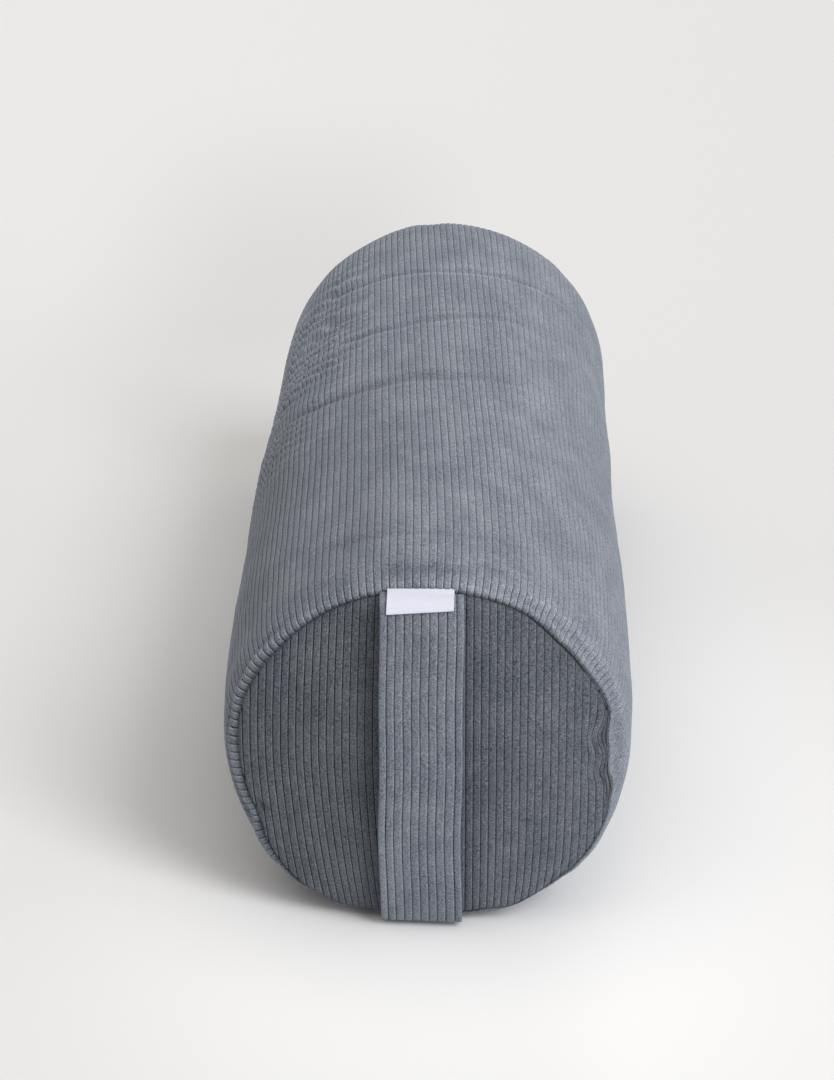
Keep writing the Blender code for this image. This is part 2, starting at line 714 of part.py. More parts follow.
def build_pull():
    """The pull tab, which hangs straight down from an eye round the slider's bar."""
    axis = zip_frame() @ Vector((0.0, SLIDER_Y, BAR_HEIGHT))
    half = PULL_WIDTH / 2
    neck = PULL_NECK_WIDTH / 2
    shoulder = PULL_NECK_LENGTH + PULL_SHOULDER
    flare = math.degrees(math.asin(neck / EYE_OUTER))
    outline = arc((0.0, 0.0), EYE_OUTER, 90 + flare, 450 - flare, 14)
    outline += [(neck, PULL_NECK_LENGTH), (half, shoulder)]
    outline += arc((0.0, PULL_LENGTH - half), half, 0, 180, 10)
    outline += [(-half, shoulder), (-neck, PULL_NECK_LENGTH)]
    pull = add_object("zip_pull", hanging(axis, outline, PULL_THICKNESS), ZIP_METAL, axis)
    eye = arc((0.0, 0.0), PULL_EYE / 2, 0, 330, 11)
    boolean(pull, "pull_eye_cutter", hanging(axis, eye, 3 * PULL_THICKNESS), "DIFFERENCE")
    low = PULL_LENGTH - half
    high = low - WINDOW_LENGTH + WINDOW_WIDTH
    window = arc((0.0, low), WINDOW_WIDTH / 2, 0, 180, 6)
    window += arc((0.0, high), WINDOW_WIDTH / 2, 180, 360, 6)
    boolean(pull, "pull_window_cutter", hanging(axis, window, 3 * PULL_THICKNESS), "DIFFERENCE")


def hanging(axis, outline, thickness):
    """An outline of (across, down) points below an axis along Y, extruded evenly to both sides."""
    corners = [axis + Vector((across, -thickness / 2, -down)) for across, down in outline]
    return plate(corners, (0.0, thickness, 0.0))


def build():
    clear_scene()
    build_cover_tube()
    build_end_panel("end_panel_handle", HANDLE_SEAM_Y, -1)
    build_end_panel("end_panel_plain", PLAIN_SEAM_Y, 1)
    build_handle()
    build_label()
    build_tape("zip_tape_upper", 1)
    build_tape("zip_tape_lower", -1)
    build_chain("zip_chain_upper", 1)
    build_chain("zip_chain_lower", -1)
    build_stops()
    build_slider()
    build_pull()
    build_bag_tube()
    build_bag_end("inner_bag_handle_end", HANDLE_SEAM_Y, -1)
    build_bag_end("inner_bag_plain_end", PLAIN_SEAM_Y, 1)
    build_fill()


build()
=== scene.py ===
"""Looks of the round yoga bolster: stuffed corduroy cover, strap handle, bare label and zip, pale floor.

Lengths are in metres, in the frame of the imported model: Y runs along the bolster, the handle is at -Y.
"""

import math

import bpy
import numpy as np
from mathutils import Matrix, Vector


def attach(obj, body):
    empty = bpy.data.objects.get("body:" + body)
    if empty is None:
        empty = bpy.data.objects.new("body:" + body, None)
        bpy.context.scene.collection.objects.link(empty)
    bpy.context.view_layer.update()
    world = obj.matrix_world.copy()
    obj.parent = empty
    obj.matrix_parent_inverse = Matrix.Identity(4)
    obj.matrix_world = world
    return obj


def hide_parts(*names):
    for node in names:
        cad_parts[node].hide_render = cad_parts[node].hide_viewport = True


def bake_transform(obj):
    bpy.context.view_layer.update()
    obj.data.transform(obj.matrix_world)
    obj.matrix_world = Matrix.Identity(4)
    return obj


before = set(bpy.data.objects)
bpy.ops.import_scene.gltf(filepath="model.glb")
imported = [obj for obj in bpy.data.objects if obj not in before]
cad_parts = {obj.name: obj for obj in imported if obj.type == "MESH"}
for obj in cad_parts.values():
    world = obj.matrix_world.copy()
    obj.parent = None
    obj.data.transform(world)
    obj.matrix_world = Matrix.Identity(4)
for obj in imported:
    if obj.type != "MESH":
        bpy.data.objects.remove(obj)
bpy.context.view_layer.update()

# Stuffed body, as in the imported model
BODY_WIDTH = 0.220
BODY_HEIGHT = 0.207
WIDEST_HEIGHT = 0.101
REST_WIDTH = 0.074
UNDERSIDE_POWER = 1.15
HANDLE_SEAM_Y = -0.29425
PLAIN_SEAM_Y = 0.30575
SEAM_DRAW_IN = 0.008
SEAM_ROLL = 0.030
END_CROWN = 0.014
CROWN_POWER = 0.75
COVER_CLOTH = 0.0022
MIDDLE = np.array([0.0, WIDEST_HEIGHT])

# Zip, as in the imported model
ZIP_MIDDLE = (-0.09757, 0.04839)
ZIP_OPEN_Y = -0.09025
ZIP_CLOSED_Y = 0.23015
SLOT_HALF = 0.0052

# Corduroy
TUBE_WALES = 160
WALE_FRACTIONS = (0.0, 0.065, 0.20, 0.50, 0.80, 0.935)
WALE_SHAPE = (0.0, 0.76, 1.0, 1.05, 1.0, 0.76)
WALE_HEIGHT = 0.00066
PANEL_WALE = 0.0041
LEAN = math.radians(1.65)
# Cloth coordinates run from 0 to 1: so many wales across, and metres along
UV_WALES = 200.0
# Colours of the pile, in its darker and its lighter patches
DARK_PILE = (0.197, 0.2225, 0.268, 1.0)
LIGHT_PILE = (0.218, 0.2395, 0.278, 1.0)

# Grid that the stuffing is simulated on
AROUND = 144
SWELL_CAP = 0.006
ROLL_TURNS = (0, 12, 25, 38, 52, 66, 80, 90)
STRAIGHT_STEPS = 58
DOME_SHARES = (0.97, 0.90, 0.80, 0.66, 0.50, 0.33, 0.17)


# Shader maths

class Wire:
    """A socket that sums can be written with."""

    def __init__(self, finish, socket):
        self.finish, self.socket = finish, socket

    def __add__(self, other):
        return self.finish.maths("ADD", self, other)

    def __sub__(self, other):
        return self.finish.maths("SUBTRACT", self, other)

    def __rsub__(self, other):
        return self.finish.maths("SUBTRACT", other, self)

    def __mul__(self, other):
        return self.finish.maths("MULTIPLY", self, other)

    __radd__, __rmul__ = __add__, __mul__


class Finish:
    """A Principled material and the nodes that feed it."""

    def __init__(self, name, colour, roughness, **constants):
        self.material = bpy.data.materials.new(name)
        self.material.use_nodes = True
        self.tree = self.material.node_tree
        self.shader = self.tree.nodes["Principled BSDF"]
        self.set("Base Color", (*colour, 1.0))
        self.set("Roughness", roughness)
        for socket, value in constants.items():
            self.set({"specular": "Specular IOR Level"}.get(socket, socket.replace("_", " ").title()), value)

    def set(self, socket, value):
        if isinstance(value, Wire):
            self.tree.links.new(value.socket, self.shader.inputs[socket])
        else:
            self.shader.inputs[socket].default_value = value


    def node(self, kind, settings=None, inputs=None, output=0):
        made = self.tree.nodes.new(kind)
        for key, value in (settings or {}).items():
            setattr(made, key, value)
        for key, value in (inputs or {}).items():
            if isinstance(value, Wire):
                self.tree.links.new(value.socket, made.inputs[key])
            else:
                made.inputs[key].default_value = value
        return Wire(self, made.outputs[output])

    def maths(self, operation, a, b=0.0):
        return self.node("ShaderNodeMath", {"operation": operation}, {0: a, 1: b})

    def axis(self, vector, number):
        """One axis of a vector, by its number from 0 to 2."""
        return self.node("ShaderNodeSeparateXYZ", {}, {0: vector}, output=number)

    def smooth(self, value, start, end):
        """0 at start and 1 at end, softly. The end may lie before the start."""
        return self.node(
            "ShaderNodeMapRange", {"interpolation_type": "SMOOTHSTEP"}, {0: value, 1: start, 2: end})

    def place(self, scale=(1.0, 1.0, 1.0)):
        """Object coordinates, stretched by scale."""
        source = self.node("ShaderNodeTexCoord", output="Object")
        return self.node("ShaderNodeMapping", {}, {0: source, 3: scale})

    def noise(self, at, scale, detail, rough):
        sockets = {"Vector": at, "Scale": scale, "Detail": detail, "Roughness": rough}
        return self.node("ShaderNodeTexNoise", {}, sockets)

    def bump(self, height, distance, strength):
        return self.node("ShaderNodeBump", {}, {"Height": height, "Distance": distance, "Strength": strength})

    def colour_by(self, base, light):
        """Sets the colour to a base colour times a wire of light and dark."""
        shade = self.node("ShaderNodeCombineXYZ", {}, {0: light, 1: light, 2: light})
        product = self.node("ShaderNodeVectorMath", {"operation": "MULTIPLY"}, {0: base, 1: shade})
        self.set("Base Color", product)


def corduroy(name, tint, groove_depth, fleck=1.0):
    """Jumbo corduroy: pile ribs with light flecks and brushed patches, a painted highlight along one edge of
    each rib, and grooves darkened both by their backing and by painted shade.
    """
    cloth = Finish(
        name, (0.2, 0.215, 0.245), 0.85,
        sheen_weight=0.30, sheen_roughness=0.5, sheen_tint=(0.80, 0.88, 1.0, 1.0), specular=0.10,
    )
    lane = cloth.axis(cloth.node("ShaderNodeUVMap", {"uv_map": "cloth"}), 0)
    across = cloth.maths("FRACT", lane * UV_WALES)
    from_middle = cloth.maths("ABSOLUTE", across - 0.5)
    groove = cloth.smooth(from_middle, 0.420, 0.478)
    # Painted highlight on the pile along one edge of each rib
    edge = cloth.smooth(across, 0.72, 0.84) * cloth.smooth(across, 0.925, 0.86)
    # Per-vertex brightness: the pile's own patches, with painted light and shade over folds, seams, dents and
    # sides
    nap = cloth.node("ShaderNodeAttribute", {"attribute_name": "nap"}, output=2)
    ribs = cloth.node("ShaderNodeAttribute", {"attribute_name": "ribs"}, output=2)
    wavy = cloth.noise(cloth.place(), 300.0, 2.0, 0.5)
    flecks = cloth.noise(cloth.place((1.0, 0.6, 1.0)), 1400.0, 2.0, 0.7)
    tufts = cloth.noise(cloth.place((1.0, 0.5, 1.0)), 620.0, 2.0, 0.6)
    brushed = cloth.noise(cloth.place((1.0, 0.6, 1.0)), 46.0, 4.0, 0.68)
    patches = cloth.noise(cloth.place((1.0, 0.7, 1.0)), 13.0, 2.0, 0.5)
    light = (
        1.0
        + 2.60 * fleck * (flecks - 0.5)
        + 0.85 * fleck * (tufts - 0.5)
        + 0.80 * (brushed - 0.5)
        + 0.30 * (patches - 0.5)
        + cloth.smooth(flecks, 0.58, 0.72) * 0.35
        + 0.30 * edge * ribs
    )
    # Grooves darker: partly the backing's own colour, partly painted shade in them
    dark = groove_depth * (0.55 + 0.9 * wavy) * ribs * groove
    light = cloth.maths("MAXIMUM", light, 0.25) * (1.0 - dark) * nap * tint
    colours = {0: cloth.smooth(brushed, 0.35, 0.65), 6: DARK_PILE, 7: LIGHT_PILE}
    hue = cloth.node("ShaderNodeMix", {"data_type": "RGBA"}, colours, output=2)
    cloth.colour_by(hue, light)
    cloth.set("Normal", cloth.bump(flecks * 0.8 + tufts * 0.8 + brushed * 0.5, 0.0012, 0.7))
    return cloth.material


# Curves and grids

def steps_between(points, closed=False):
    """Distance along a line to each of its points."""
    ahead = np.roll(points, -1, axis=0) if closed else points[1:]
    behind = points if closed else points[:-1]
    return np.concatenate([[0.0], np.cumsum(np.linalg.norm(ahead - behind, axis=-1))])


def cross_section(samples=4320):
    """Points (x, z) at equal steps round the body, from the zip's middle up over the top and back."""
    half, rest, rise = BODY_WIDTH / 2, REST_WIDTH / 2, BODY_HEIGHT - WIDEST_HEIGHT
    turn = np.linspace(np.pi / 2, 0.0, 700)
    low_x = rest + (half - rest) * np.maximum(0.0, np.cos(turn)) ** UNDERSIDE_POWER
    low_z = WIDEST_HEIGHT * (1.0 - np.sin(turn))
    over = np.linspace(np.pi, 0.0, 1400)[1:-1]
    x = np.concatenate([-low_x, half * np.cos(over), low_x[::-1], np.linspace(rest, -rest, 300)[1:-1]])
    z = np.concatenate([low_z, WIDEST_HEIGHT + rise * np.sin(over), low_z[::-1], np.zeros(298)])
    line = np.stack([x, z], axis=1)
    line = np.roll(line, -np.argmin(np.hypot(x - ZIP_MIDDLE[0], z - ZIP_MIDDLE[1])), axis=0)
    far = steps_between(line, closed=True)
    places = np.linspace(0.0, far[-1], samples, endpoint=False)
    shut = np.vstack([line, line[:1]])
    return np.stack([np.interp(places, far, shut[:, k]) for k in (0, 1)], axis=1), far[-1]


SECTION, PERIMETER = cross_section()
ALONG_SECTION = np.roll(SECTION, -12, axis=0) - np.roll(SECTION, 12, axis=0)
SECTION_OUT = np.stack([-ALONG_SECTION[:, 1], ALONG_SECTION[:, 0]], axis=1)
SECTION_OUT /= np.linalg.norm(SECTION_OUT, axis=1)[:, None]


def on_section(share, inset=0.0):
    """Points (x, z) at shares of the way round the body, at a depth below its surface."""
    places = np.asarray(share) * len(SECTION)
    knots = np.arange(len(SECTION) + 1)
    found = []
    for k in (0, 1):
        curve = SECTION[:, k] - inset * SECTION_OUT[:, k]
        found.append(np.interp(places % len(SECTION), knots, np.append(curve, curve[0])))
    return np.stack(found, axis=-1)


def weights(places, count, closed):
    """The four neighbours of each place on a row of points, and how much each counts in a smooth curve."""
    first = np.floor(places).astype(int)
    t = (places - first)[:, None]
    near = first[:, None] + np.arange(-1, 3)[None, :]
    near = near % count if closed else np.clip(near, 0, count - 1)
    share = 0.5 * np.hstack([
        -t + 2 * t**2 - t**3, 2 - 5 * t**2 + 3 * t**3, t + 4 * t**2 - 3 * t**3, t**3 - t**2,
    ])
    return near, share


def smooth_grid(base, rows, columns):
    """A coarse grid, closed across, read at rows and columns along smooth curves."""
    near, share = weights(rows, base.shape[0], False)
    tall = sum(base[near[:, k]] * share[:, k].reshape(-1, 1, *[1] * (base.ndim - 2)) for k in range(4))
    near, share = weights(columns, base.shape[1], True)
    return sum(tall[:, near[:, k]] * share[:, k].reshape(1, -1, *[1] * (base.ndim - 2)) for k in range(4))


def smooth_points(base, rows, columns):
    """A coarse grid, closed across, read at single points of a row and a column each."""
    near_row, row_share = weights(rows, base.shape[0], False)
    near_column, column_share = weights(columns, base.shape[1], True)
    total = 0.0
    for i in range(4):
        for j in range(4):
            part = base[near_row[:, i], near_column[:, j]]
            total = total + part * (row_share[:, i] * column_share[:, j]).reshape(-1, *[1] * (base.ndim - 2))
    return total


def uneven(seed, rows, columns, lengthwise, around):
    """Smooth seeded unevenness, about -1 to 1, with so many cells along and around."""
    cells = np.random.default_rng(seed).normal(0.0, 0.6, (lengthwise + 1, around))
    return smooth_grid(cells, rows * lengthwise, columns * around)


def hump(value, width):
    """1 at 0, falling away on both sides over about a width."""
    return np.exp(-((value / width) ** 2))


def ramp(value, start, end):
    """0 up to start, then evenly up to 1 at end. The end may lie before the start."""
    return np.clip((value - start) / (end - start), 0.0, 1.0)


def smoothstep(share):
    return share * share * (3.0 - 2.0 * share)


def between(value, start, end, soft):
    """1 between start and end, falling smoothly to 0 over a soft border outside them."""
    return smoothstep(np.clip(np.minimum(value - start, end - value) / soft + 1.0, 0.0, 1.0))


def uv_grid(across, along):
    """Cloth coordinates of a grid, from those of its columns and those of its rows."""
    return np.stack(np.broadcast_arrays(across, along), axis=-1)


def grid_normals(points, closed=True):
    """Unit normals of a grid whose rows run from the handle end and whose columns run up over the top."""
    if closed:
        across = np.roll(points, -1, axis=1) - np.roll(points, 1, axis=1)
    else:
        across = np.gradient(points, axis=1)
    normal = np.cross(across, np.gradient(points, axis=0))
    return normal / np.maximum(np.linalg.norm(normal, axis=-1), 1e-12)[..., None]


class Sewing:
    """Vertices, faces and cloth coordinates, gathered before they become one mesh."""

    def __init__(self):
        self.points, self.faces, self.uvs, self.spots, self.count = [], [], [], [], 0
        self.naps, self.ribs = [], []

    def add_points(self, points, uv, nap=None, ribs=None):
        points, uv = points.reshape(-1, 3), uv.reshape(-1, 2)
        self.points.append(points)
        self.spots.append(uv)
        for kept, given in ((self.naps, nap), (self.ribs, ribs)):
            kept.append(np.ones(len(points)) if given is None else np.asarray(given, float).reshape(-1))
        start = self.count
        self.count += len(points)
        return start

    def grid(self, points, uv, keep=None, turned=False, nap=None, ribs=None):
        """A grid of quads. Where uv has one column more than points, the grid is closed across."""
        rows, columns = points.shape[:2]
        start = self.add_points(points, uv[:, :columns], nap, ribs)
        index = start + np.arange(rows * columns).reshape(rows, columns)
        closed = uv.shape[1] == columns + 1
        right = np.roll(index, -1, axis=1) if closed else index[:, 1:]
        left = index if closed else index[:, :-1]
        quads = np.stack([left[:-1], right[:-1], right[1:], left[1:]], axis=-1)
        corner = np.stack([uv[:-1, :-1], uv[:-1, 1:], uv[1:, 1:], uv[1:, :-1]], axis=2)
        if keep is not None:
            quads, corner = quads[keep], corner[keep]
        quads, corner = quads.reshape(-1, 4), corner.reshape(-1, 4, 2)
        if turned:
            quads, corner = quads[:, ::-1], corner[:, ::-1]
        self.faces += quads.tolist()
        self.uvs.append(corner.reshape(-1, 2))
        return index

    def add_faces(self, faces, turned=False):
        """Faces between points that are there already, with the cloth coordinates of these."""
        if turned:
            faces = [face[::-1] for face in faces]
        self.faces += faces
        self.uvs.append(np.concatenate(self.spots)[np.array(faces).reshape(-1)])

    def sew(self, first, second, turned=False, angles=None):
        """Joins two closed lines with triangles, by shares of the way round, or by the lines' own angles."""
        first_at, second_at = angles or [np.arange(len(line) + 1) / len(line) for line in (first, second)]
        first, second = [*first, first[0]], [*second, second[0]]
        i = j = 0
        faces = []
        while i < len(first) - 1 or j < len(second) - 1:
            if j == len(second) - 1 or (i < len(first) - 1 and first_at[i + 1] <= second_at[j + 1]):
                faces.append([first[i], first[i + 1], second[j]])
                i += 1
            else:
                faces.append([first[i], second[j + 1], second[j]])
                j += 1
        self.add_faces(faces, turned)

    def fan(self, loop, point, uv, turned=False):
        """Closes a loop with triangles that meet in a new point."""
        middle = self.add_points(np.array([point]), np.array([uv]))
        loop = list(loop)
        self.add_faces([[a, b, middle] for a, b in zip(loop, loop[1:] + loop[:1])], turned)

    def thread(self, line, aside, up, radius, turned=False):
        """A six-sided thread along a line, with its own radius at each point, closed at both ends."""
        turns = np.linspace(0.0, 2 * np.pi, 6, endpoint=False)[:, None]
        spokes = np.cos(turns) * aside[:, None, :] + np.sin(turns) * up[:, None, :]
        uv = uv_grid(np.linspace(0, 1, 7), np.linspace(0, 1, len(line))[:, None])
        index = self.grid(line[:, None, :] + radius[:, None, None] * spokes, uv, turned=turned)
        for loop in (index[0].tolist()[::-1], index[-1].tolist()):
            self.faces.append(loop)
            self.uvs.append(np.zeros((6, 2)))

    def finish(self, name, *materials, sharp=None):
        mesh = bpy.data.meshes.new(name)
        mesh.from_pydata(np.concatenate(self.points).tolist(), [], self.faces)
        layer = mesh.uv_layers.new(name="cloth")
        layer.data.foreach_set("uv", np.concatenate(self.uvs).astype(np.float32).reshape(-1))
        for attribute, values in (("nap", self.naps), ("ribs", self.ribs)):
            made = mesh.attributes.new(attribute, "FLOAT", "POINT")
            made.data.foreach_set("value", np.concatenate(values).astype(np.float32))
        mesh.shade_smooth()
        if sharp:
            mesh.set_sharp_from_angle(angle=math.radians(sharp))
        for material in materials:
            mesh.materials.append(material)
        made = bpy.data.objects.new(name, mesh)
        bpy.context.scene.collection.objects.link(made)
        return made


# Stuffing: a coarse grid of the whole cover, swollen and gathered by simulation

SHARES = np.arange(AROUND) / AROUND
# How much longer the tube was cut than it lies, so that it gathers
CUT_LENGTH = 1.006
CLOTH_FRAMES = 20


def roll_stations(seam_y, inwards):
    """(depth, y) of the rings where the tube rolls in to an end seam, seam first."""
    turns = np.radians(ROLL_TURNS)
    y = seam_y + inwards * SEAM_ROLL * (1 - np.cos(turns))
    return np.stack([SEAM_DRAW_IN * (1 - np.sin(turns)), y], axis=1)


def ring_at(flat, y):
    """A ring (x, y, z) of flat points (x, z), at a place along the bolster."""
    return np.stack([flat[:, 0], np.full(len(flat), y), flat[:, 1]], axis=1)


def body_rings():
    """Rings of the tube from the handle seam to the plain seam, as (depth, y) and as points."""
    near, far = roll_stations(HANDLE_SEAM_Y, 1), roll_stations(PLAIN_SEAM_Y, -1)[::-1]
    straight = np.linspace(near[-1, 1], far[0, 1], STRAIGHT_STEPS + 2)[1:-1]
    stations = np.vstack([near, np.stack([np.zeros(STRAIGHT_STEPS), straight], axis=1), far])
    return stations, np.array([ring_at(on_section(SHARES, inset), y) for inset, y in stations])


def dome_rings(seam_y, outwards):
    """Rings of a stuffed end, from its rim to its crown."""
    rim = on_section(SHARES, SEAM_DRAW_IN)
    rings = []
    for share in (1.0, *DOME_SHARES):
        y = seam_y + outwards * END_CROWN * (1.0 - share * share) ** CROWN_POWER
        rings.append(ring_at(MIDDLE + (rim - MIDDLE) * share, y))
    return np.array(rings)


def cut_rings(stations):
    """The tube's inner rings as it was cut: as wide at its ends as in its middle, and a little long."""
    path = steps_between(stations)
    rings = []
    for k in range(1, len(stations) - 1):
        from_end = min(k, len(stations) - 1 - k)
        inset = stations[k, 0] * (1.0 - min(1.0, from_end / 2.5))
        y = HANDLE_SEAM_Y + (path[k] - path[-1] / 2) * CUT_LENGTH + (PLAIN_SEAM_Y - HANDLE_SEAM_Y) / 2
        rings.append(ring_at(on_section(SHARES, inset), y))
    return np.array(rings)


def stuffed():
    """Tube rings, both domes from rim to inner ring, and both crowns, swollen by the stuffing."""
    stations, tube = body_rings()
    domes = [dome_rings(HANDLE_SEAM_Y, -1), dome_rings(PLAIN_SEAM_Y, 1)]
    crowns = np.array([(0.0, HANDLE_SEAM_Y - END_CROWN, WIDEST_HEIGHT),
                       (0.0, PLAIN_SEAM_Y + END_CROWN, WIDEST_HEIGHT)])
    return swell(stations, tube, domes, crowns)


def swell(stations, tube, domes, crowns):
    """The cover as a cloth simulation leaves it, with what it moved evened out and capped."""
    rings = np.concatenate([domes[0][:0:-1], tube, domes[1][1:]])
    first, last = len(DOME_SHARES), len(DOME_SHARES) + len(tube) - 1
    start = np.concatenate([rings.reshape(-1, 3), crowns])
    index = np.arange(rings.shape[0] * AROUND).reshape(-1, AROUND)
    ahead = np.roll(index, -1, axis=1)
    faces = np.stack([index[:-1], ahead[:-1], ahead[1:], index[1:]], axis=-1).reshape(-1, 4).tolist()
    faces += [[a, len(start) - 2, b] for a, b in zip(index[0].tolist(), ahead[0].tolist())]
    faces += [[b, len(start) - 1, a] for a, b in zip(index[-1].tolist(), ahead[-1].tolist())]
    cut = start.copy()
    cut[index[first + 1 : last]] = cut_rings(stations)
    points = start + np.random.default_rng(11).normal(0.0, 0.00025, start.shape)
    # The seams, the strip that the bolster lies on and the cloth beside the zip are held
    inner = index[first + 1 : last].reshape(-1)
    low = inner[points[inner, 2] < 0.0035]
    near_zip = np.minimum(SHARES, 1.0 - SHARES) * PERIMETER < 0.017
    zip_rows = (tube[:, 0, 1] > ZIP_OPEN_Y - 0.012) & (tube[:, 0, 1] < ZIP_CLOSED_Y + 0.012)
    beside = index[first : last + 1][zip_rows][:, near_zip].reshape(-1)
    held = np.concatenate([index[first], index[last], low, beside])
    moved = simulate(points, faces, cut, held.tolist())
    out = grid_normals(rings)
    far = ((moved - start)[:-2].reshape(rings.shape) * out).sum(axis=-1)
    for _ in range(4):
        far = 0.5 * far + 0.25 * (np.roll(far, 1, axis=1) + np.roll(far, -1, axis=1))
        far[1:-1] = 0.4 * far[1:-1] + 0.3 * (far[:-2] + far[2:])
    grid = rings + out * (np.tanh(far / SWELL_CAP) * SWELL_CAP)[..., None]
    return grid[first : last + 1], [grid[: first + 1][::-1], grid[last:]], moved[-2:]


def simulate(points, faces, cut, held):
    """Where points end up under pressure from within, with the rest shape as cut and some points held."""
    scene = bpy.context.scene
    mesh = bpy.data.meshes.new("stuffed_cover")
    mesh.from_pydata(points.tolist(), [], faces)
    mesh.update()
    cover = bpy.data.objects.new("stuffed_cover", mesh)
    scene.collection.objects.link(cover)
    cover.shape_key_add(name="Basis")
    flat = cover.shape_key_add(name="cut")
    flat.data.foreach_set("co", cut.astype(np.float32).reshape(-1))
    cover.vertex_groups.new(name="held").add(held, 1.0, "REPLACE")
    modifier = cover.modifiers.new("cloth", "CLOTH")
    settings = modifier.settings
    settings.rest_shape_key = flat
    settings.vertex_group_mass = "held"
    settings.quality = 8
    settings.mass = 0.25
    settings.tension_stiffness = 60
    settings.compression_stiffness = 40
    settings.shear_stiffness = 12
    settings.bending_stiffness = 0.25
    settings.use_pressure = True
    settings.uniform_pressure_force = 4.0
    settings.effector_weights.gravity = 0.0
    modifier.collision_settings.use_collision = False
    modifier.point_cache.frame_start, modifier.point_cache.frame_end = 1, CLOTH_FRAMES
    for frame_number in range(1, CLOTH_FRAMES + 1):
        scene.frame_set(frame_number)
    done = cover.evaluated_get(bpy.context.evaluated_depsgraph_get()).to_mesh()
    moved = np.zeros(len(done.vertices) * 3, np.float32)
    done.vertices.foreach_get("co", moved)
    scene.frame_set(1)
    bpy.data.objects.remove(cover)
    return moved.reshape(-1, 3).astype(float)


# Where the handle seam lies off its even round, as (degrees from the right, millimetres outwards)
SEAM_OFFSETS = (
    (-180, -0.9), (-171, -2.1), (-163, -3.5), (-157, -4.9), (-151, -2.6), (-144, -1.4), (-138, -0.5),
    (-129, 0.4), (-120, 0.4), (-114, 1.0), (-108, 1.6), (-100, 2.0), (-80, 2.0), (-74, 0.8), (-68, -0.6),
    (-62, -0.6), (-57, -1.4), (-52, -1.6), (-47, -1.0), (-40, -0.3), (-34, 0.2), (-20, 0.4), (-13, -1.2),
    (-8, -1.8), (-3, -4.6), (4, -5.4), (10, -5.0), (17, -1.6), (23, -1.2), (35, -2.8), (47, -2.6),
    (60, 0.2), (82, -0.4), (106, 0.0), (123, 0.8), (143, 0.6), (153, 1.7), (162, 2.2), (170, 1.1),
    (180, -0.9),
)
# How far the sides swell, as (y, millimetres on the left, millimetres on the right)
SIDE_SWELLS = (
    (-0.290, 0.0, 0.0), (-0.265, 1.0, 0.6), (-0.225, 2.7, 1.6), (-0.185, 3.6, 2.1), (-0.145, 4.4, 2.3),
    (-0.105, 4.9, 2.1), (-0.060, 4.6, 1.2), (-0.010, 4.2, 0.2), (0.040, 3.6, -0.3), (0.100, 2.7, -0.4),
    (0.170, 1.5, -0.2), (0.220, 0.2, 0.0), (0.290, -2.0, 0.0),
)
# The two sides: column of the table, degrees of the middle, reach above and below it, way up
SIDES = ((1, 168.0, 66.0, 34.0, -1.0), (2, 8.0, 60.0, 46.0, 1.0))
MILLIMETRE = 0.001


def seam_angle(x, z):
    """Degrees round the middle of the body, from the right over the top."""
    return np.degrees(np.arctan2(z - WIDEST_HEIGHT, x))


def turned_under(angle):
    """1 along the lower edge, where the end panel bulges over the seam and hides the roll beside it."""
    return between(angle, -136.0, -46.0, 7.0)


def settled(points):
    """The cover as it lies: its handle seam off the round here and there, its sides a little uneven."""
    x, y, z = points[..., 0], points[..., 1], points[..., 2]
    angle = seam_angle(x, z)
    past = y - HANDLE_SEAM_Y
    offsets, swells = np.array(SEAM_OFFSETS).T, np.array(SIDE_SWELLS).T
    outwards = np.interp(angle, *offsets) * MILLIMETRE * hump(past, np.where(past > 0, 0.0100, 0.0075))
    outwards -= 0.0030 * turned_under(angle) * hump(past - 0.0085, 0.0072) * (past > 0)
    for side, middle, above, below, up in SIDES:
        off = (angle - middle + 180.0) % 360.0 - 180.0
        share = np.clip(1.0 - np.abs(off) / np.where(off * up > 0, above, below), 0.0, 1.0)
        outwards += np.interp(y, swells[0], swells[side]) * MILLIMETRE * smoothstep(share)
    reach = np.maximum(np.hypot(x, z - WIDEST_HEIGHT), 1e-6)
    outwards *= ramp(reach, 0.0, 0.09) ** 2
    moved = points.copy()
    moved[..., 0] += outwards * x / reach
    moved[..., 2] = np.maximum(z + outwards * (z - WIDEST_HEIGHT) / reach, 0.0006)
    return moved


TUBE, DOMES, CROWNS = stuffed()
TUBE, DOMES = settled(TUBE), [settled(DOMES[0]), DOMES[1]]


# The tube of the cover

# How far the ribs have turned to the right over the top, as (y, metres)
RIB_TWIST = (
    (-0.29, 0.0118), (-0.26, 0.0116), (-0.23, 0.0110), (-0.20, 0.0102), (-0.17, 0.0092), (-0.14, 0.0080),
    (0.30, -0.0108),
)


def twisted(rows, shares):
    """Columns of the coarse grid for each row and share, turned where the cover was pulled on askew."""
    y = np.interp(rows, np.arange(len(TUBE)), TUBE[:, :, 1].mean(axis=1))
    turn = np.interp(y, *np.array(RIB_TWIST).T)
    angle = seam_angle(*on_section(shares).T) % 360.0
    reach = between(angle, 82.0, 500.0, 75.0) * between(angle, -400.0, 160.0, 44.0)
    return (shares[None, :] + turn[:, None] * reach[None, :] / PERIMETER) * AROUND


def wale_lanes():
    """Wale number of each column round the tube, and its share of the way round."""
    lanes = (np.arange(TUBE_WALES)[:, None] + np.array(WALE_FRACTIONS)[None, :]).reshape(-1)
    marks = [0.0, SLOT_HALF, PERIMETER - SLOT_HALF, PERIMETER]
    return lanes, np.interp(lanes, [0, 1, TUBE_WALES - 1, TUBE_WALES], marks) / PERIMETER


def wale_rise(lane):
    """Height of the corduroy at a wale number, from 0 in a groove to about 1 on a rib."""
    return np.interp(lane % 1.0, [*WALE_FRACTIONS, 1.0], [*WALE_SHAPE, 0.0])
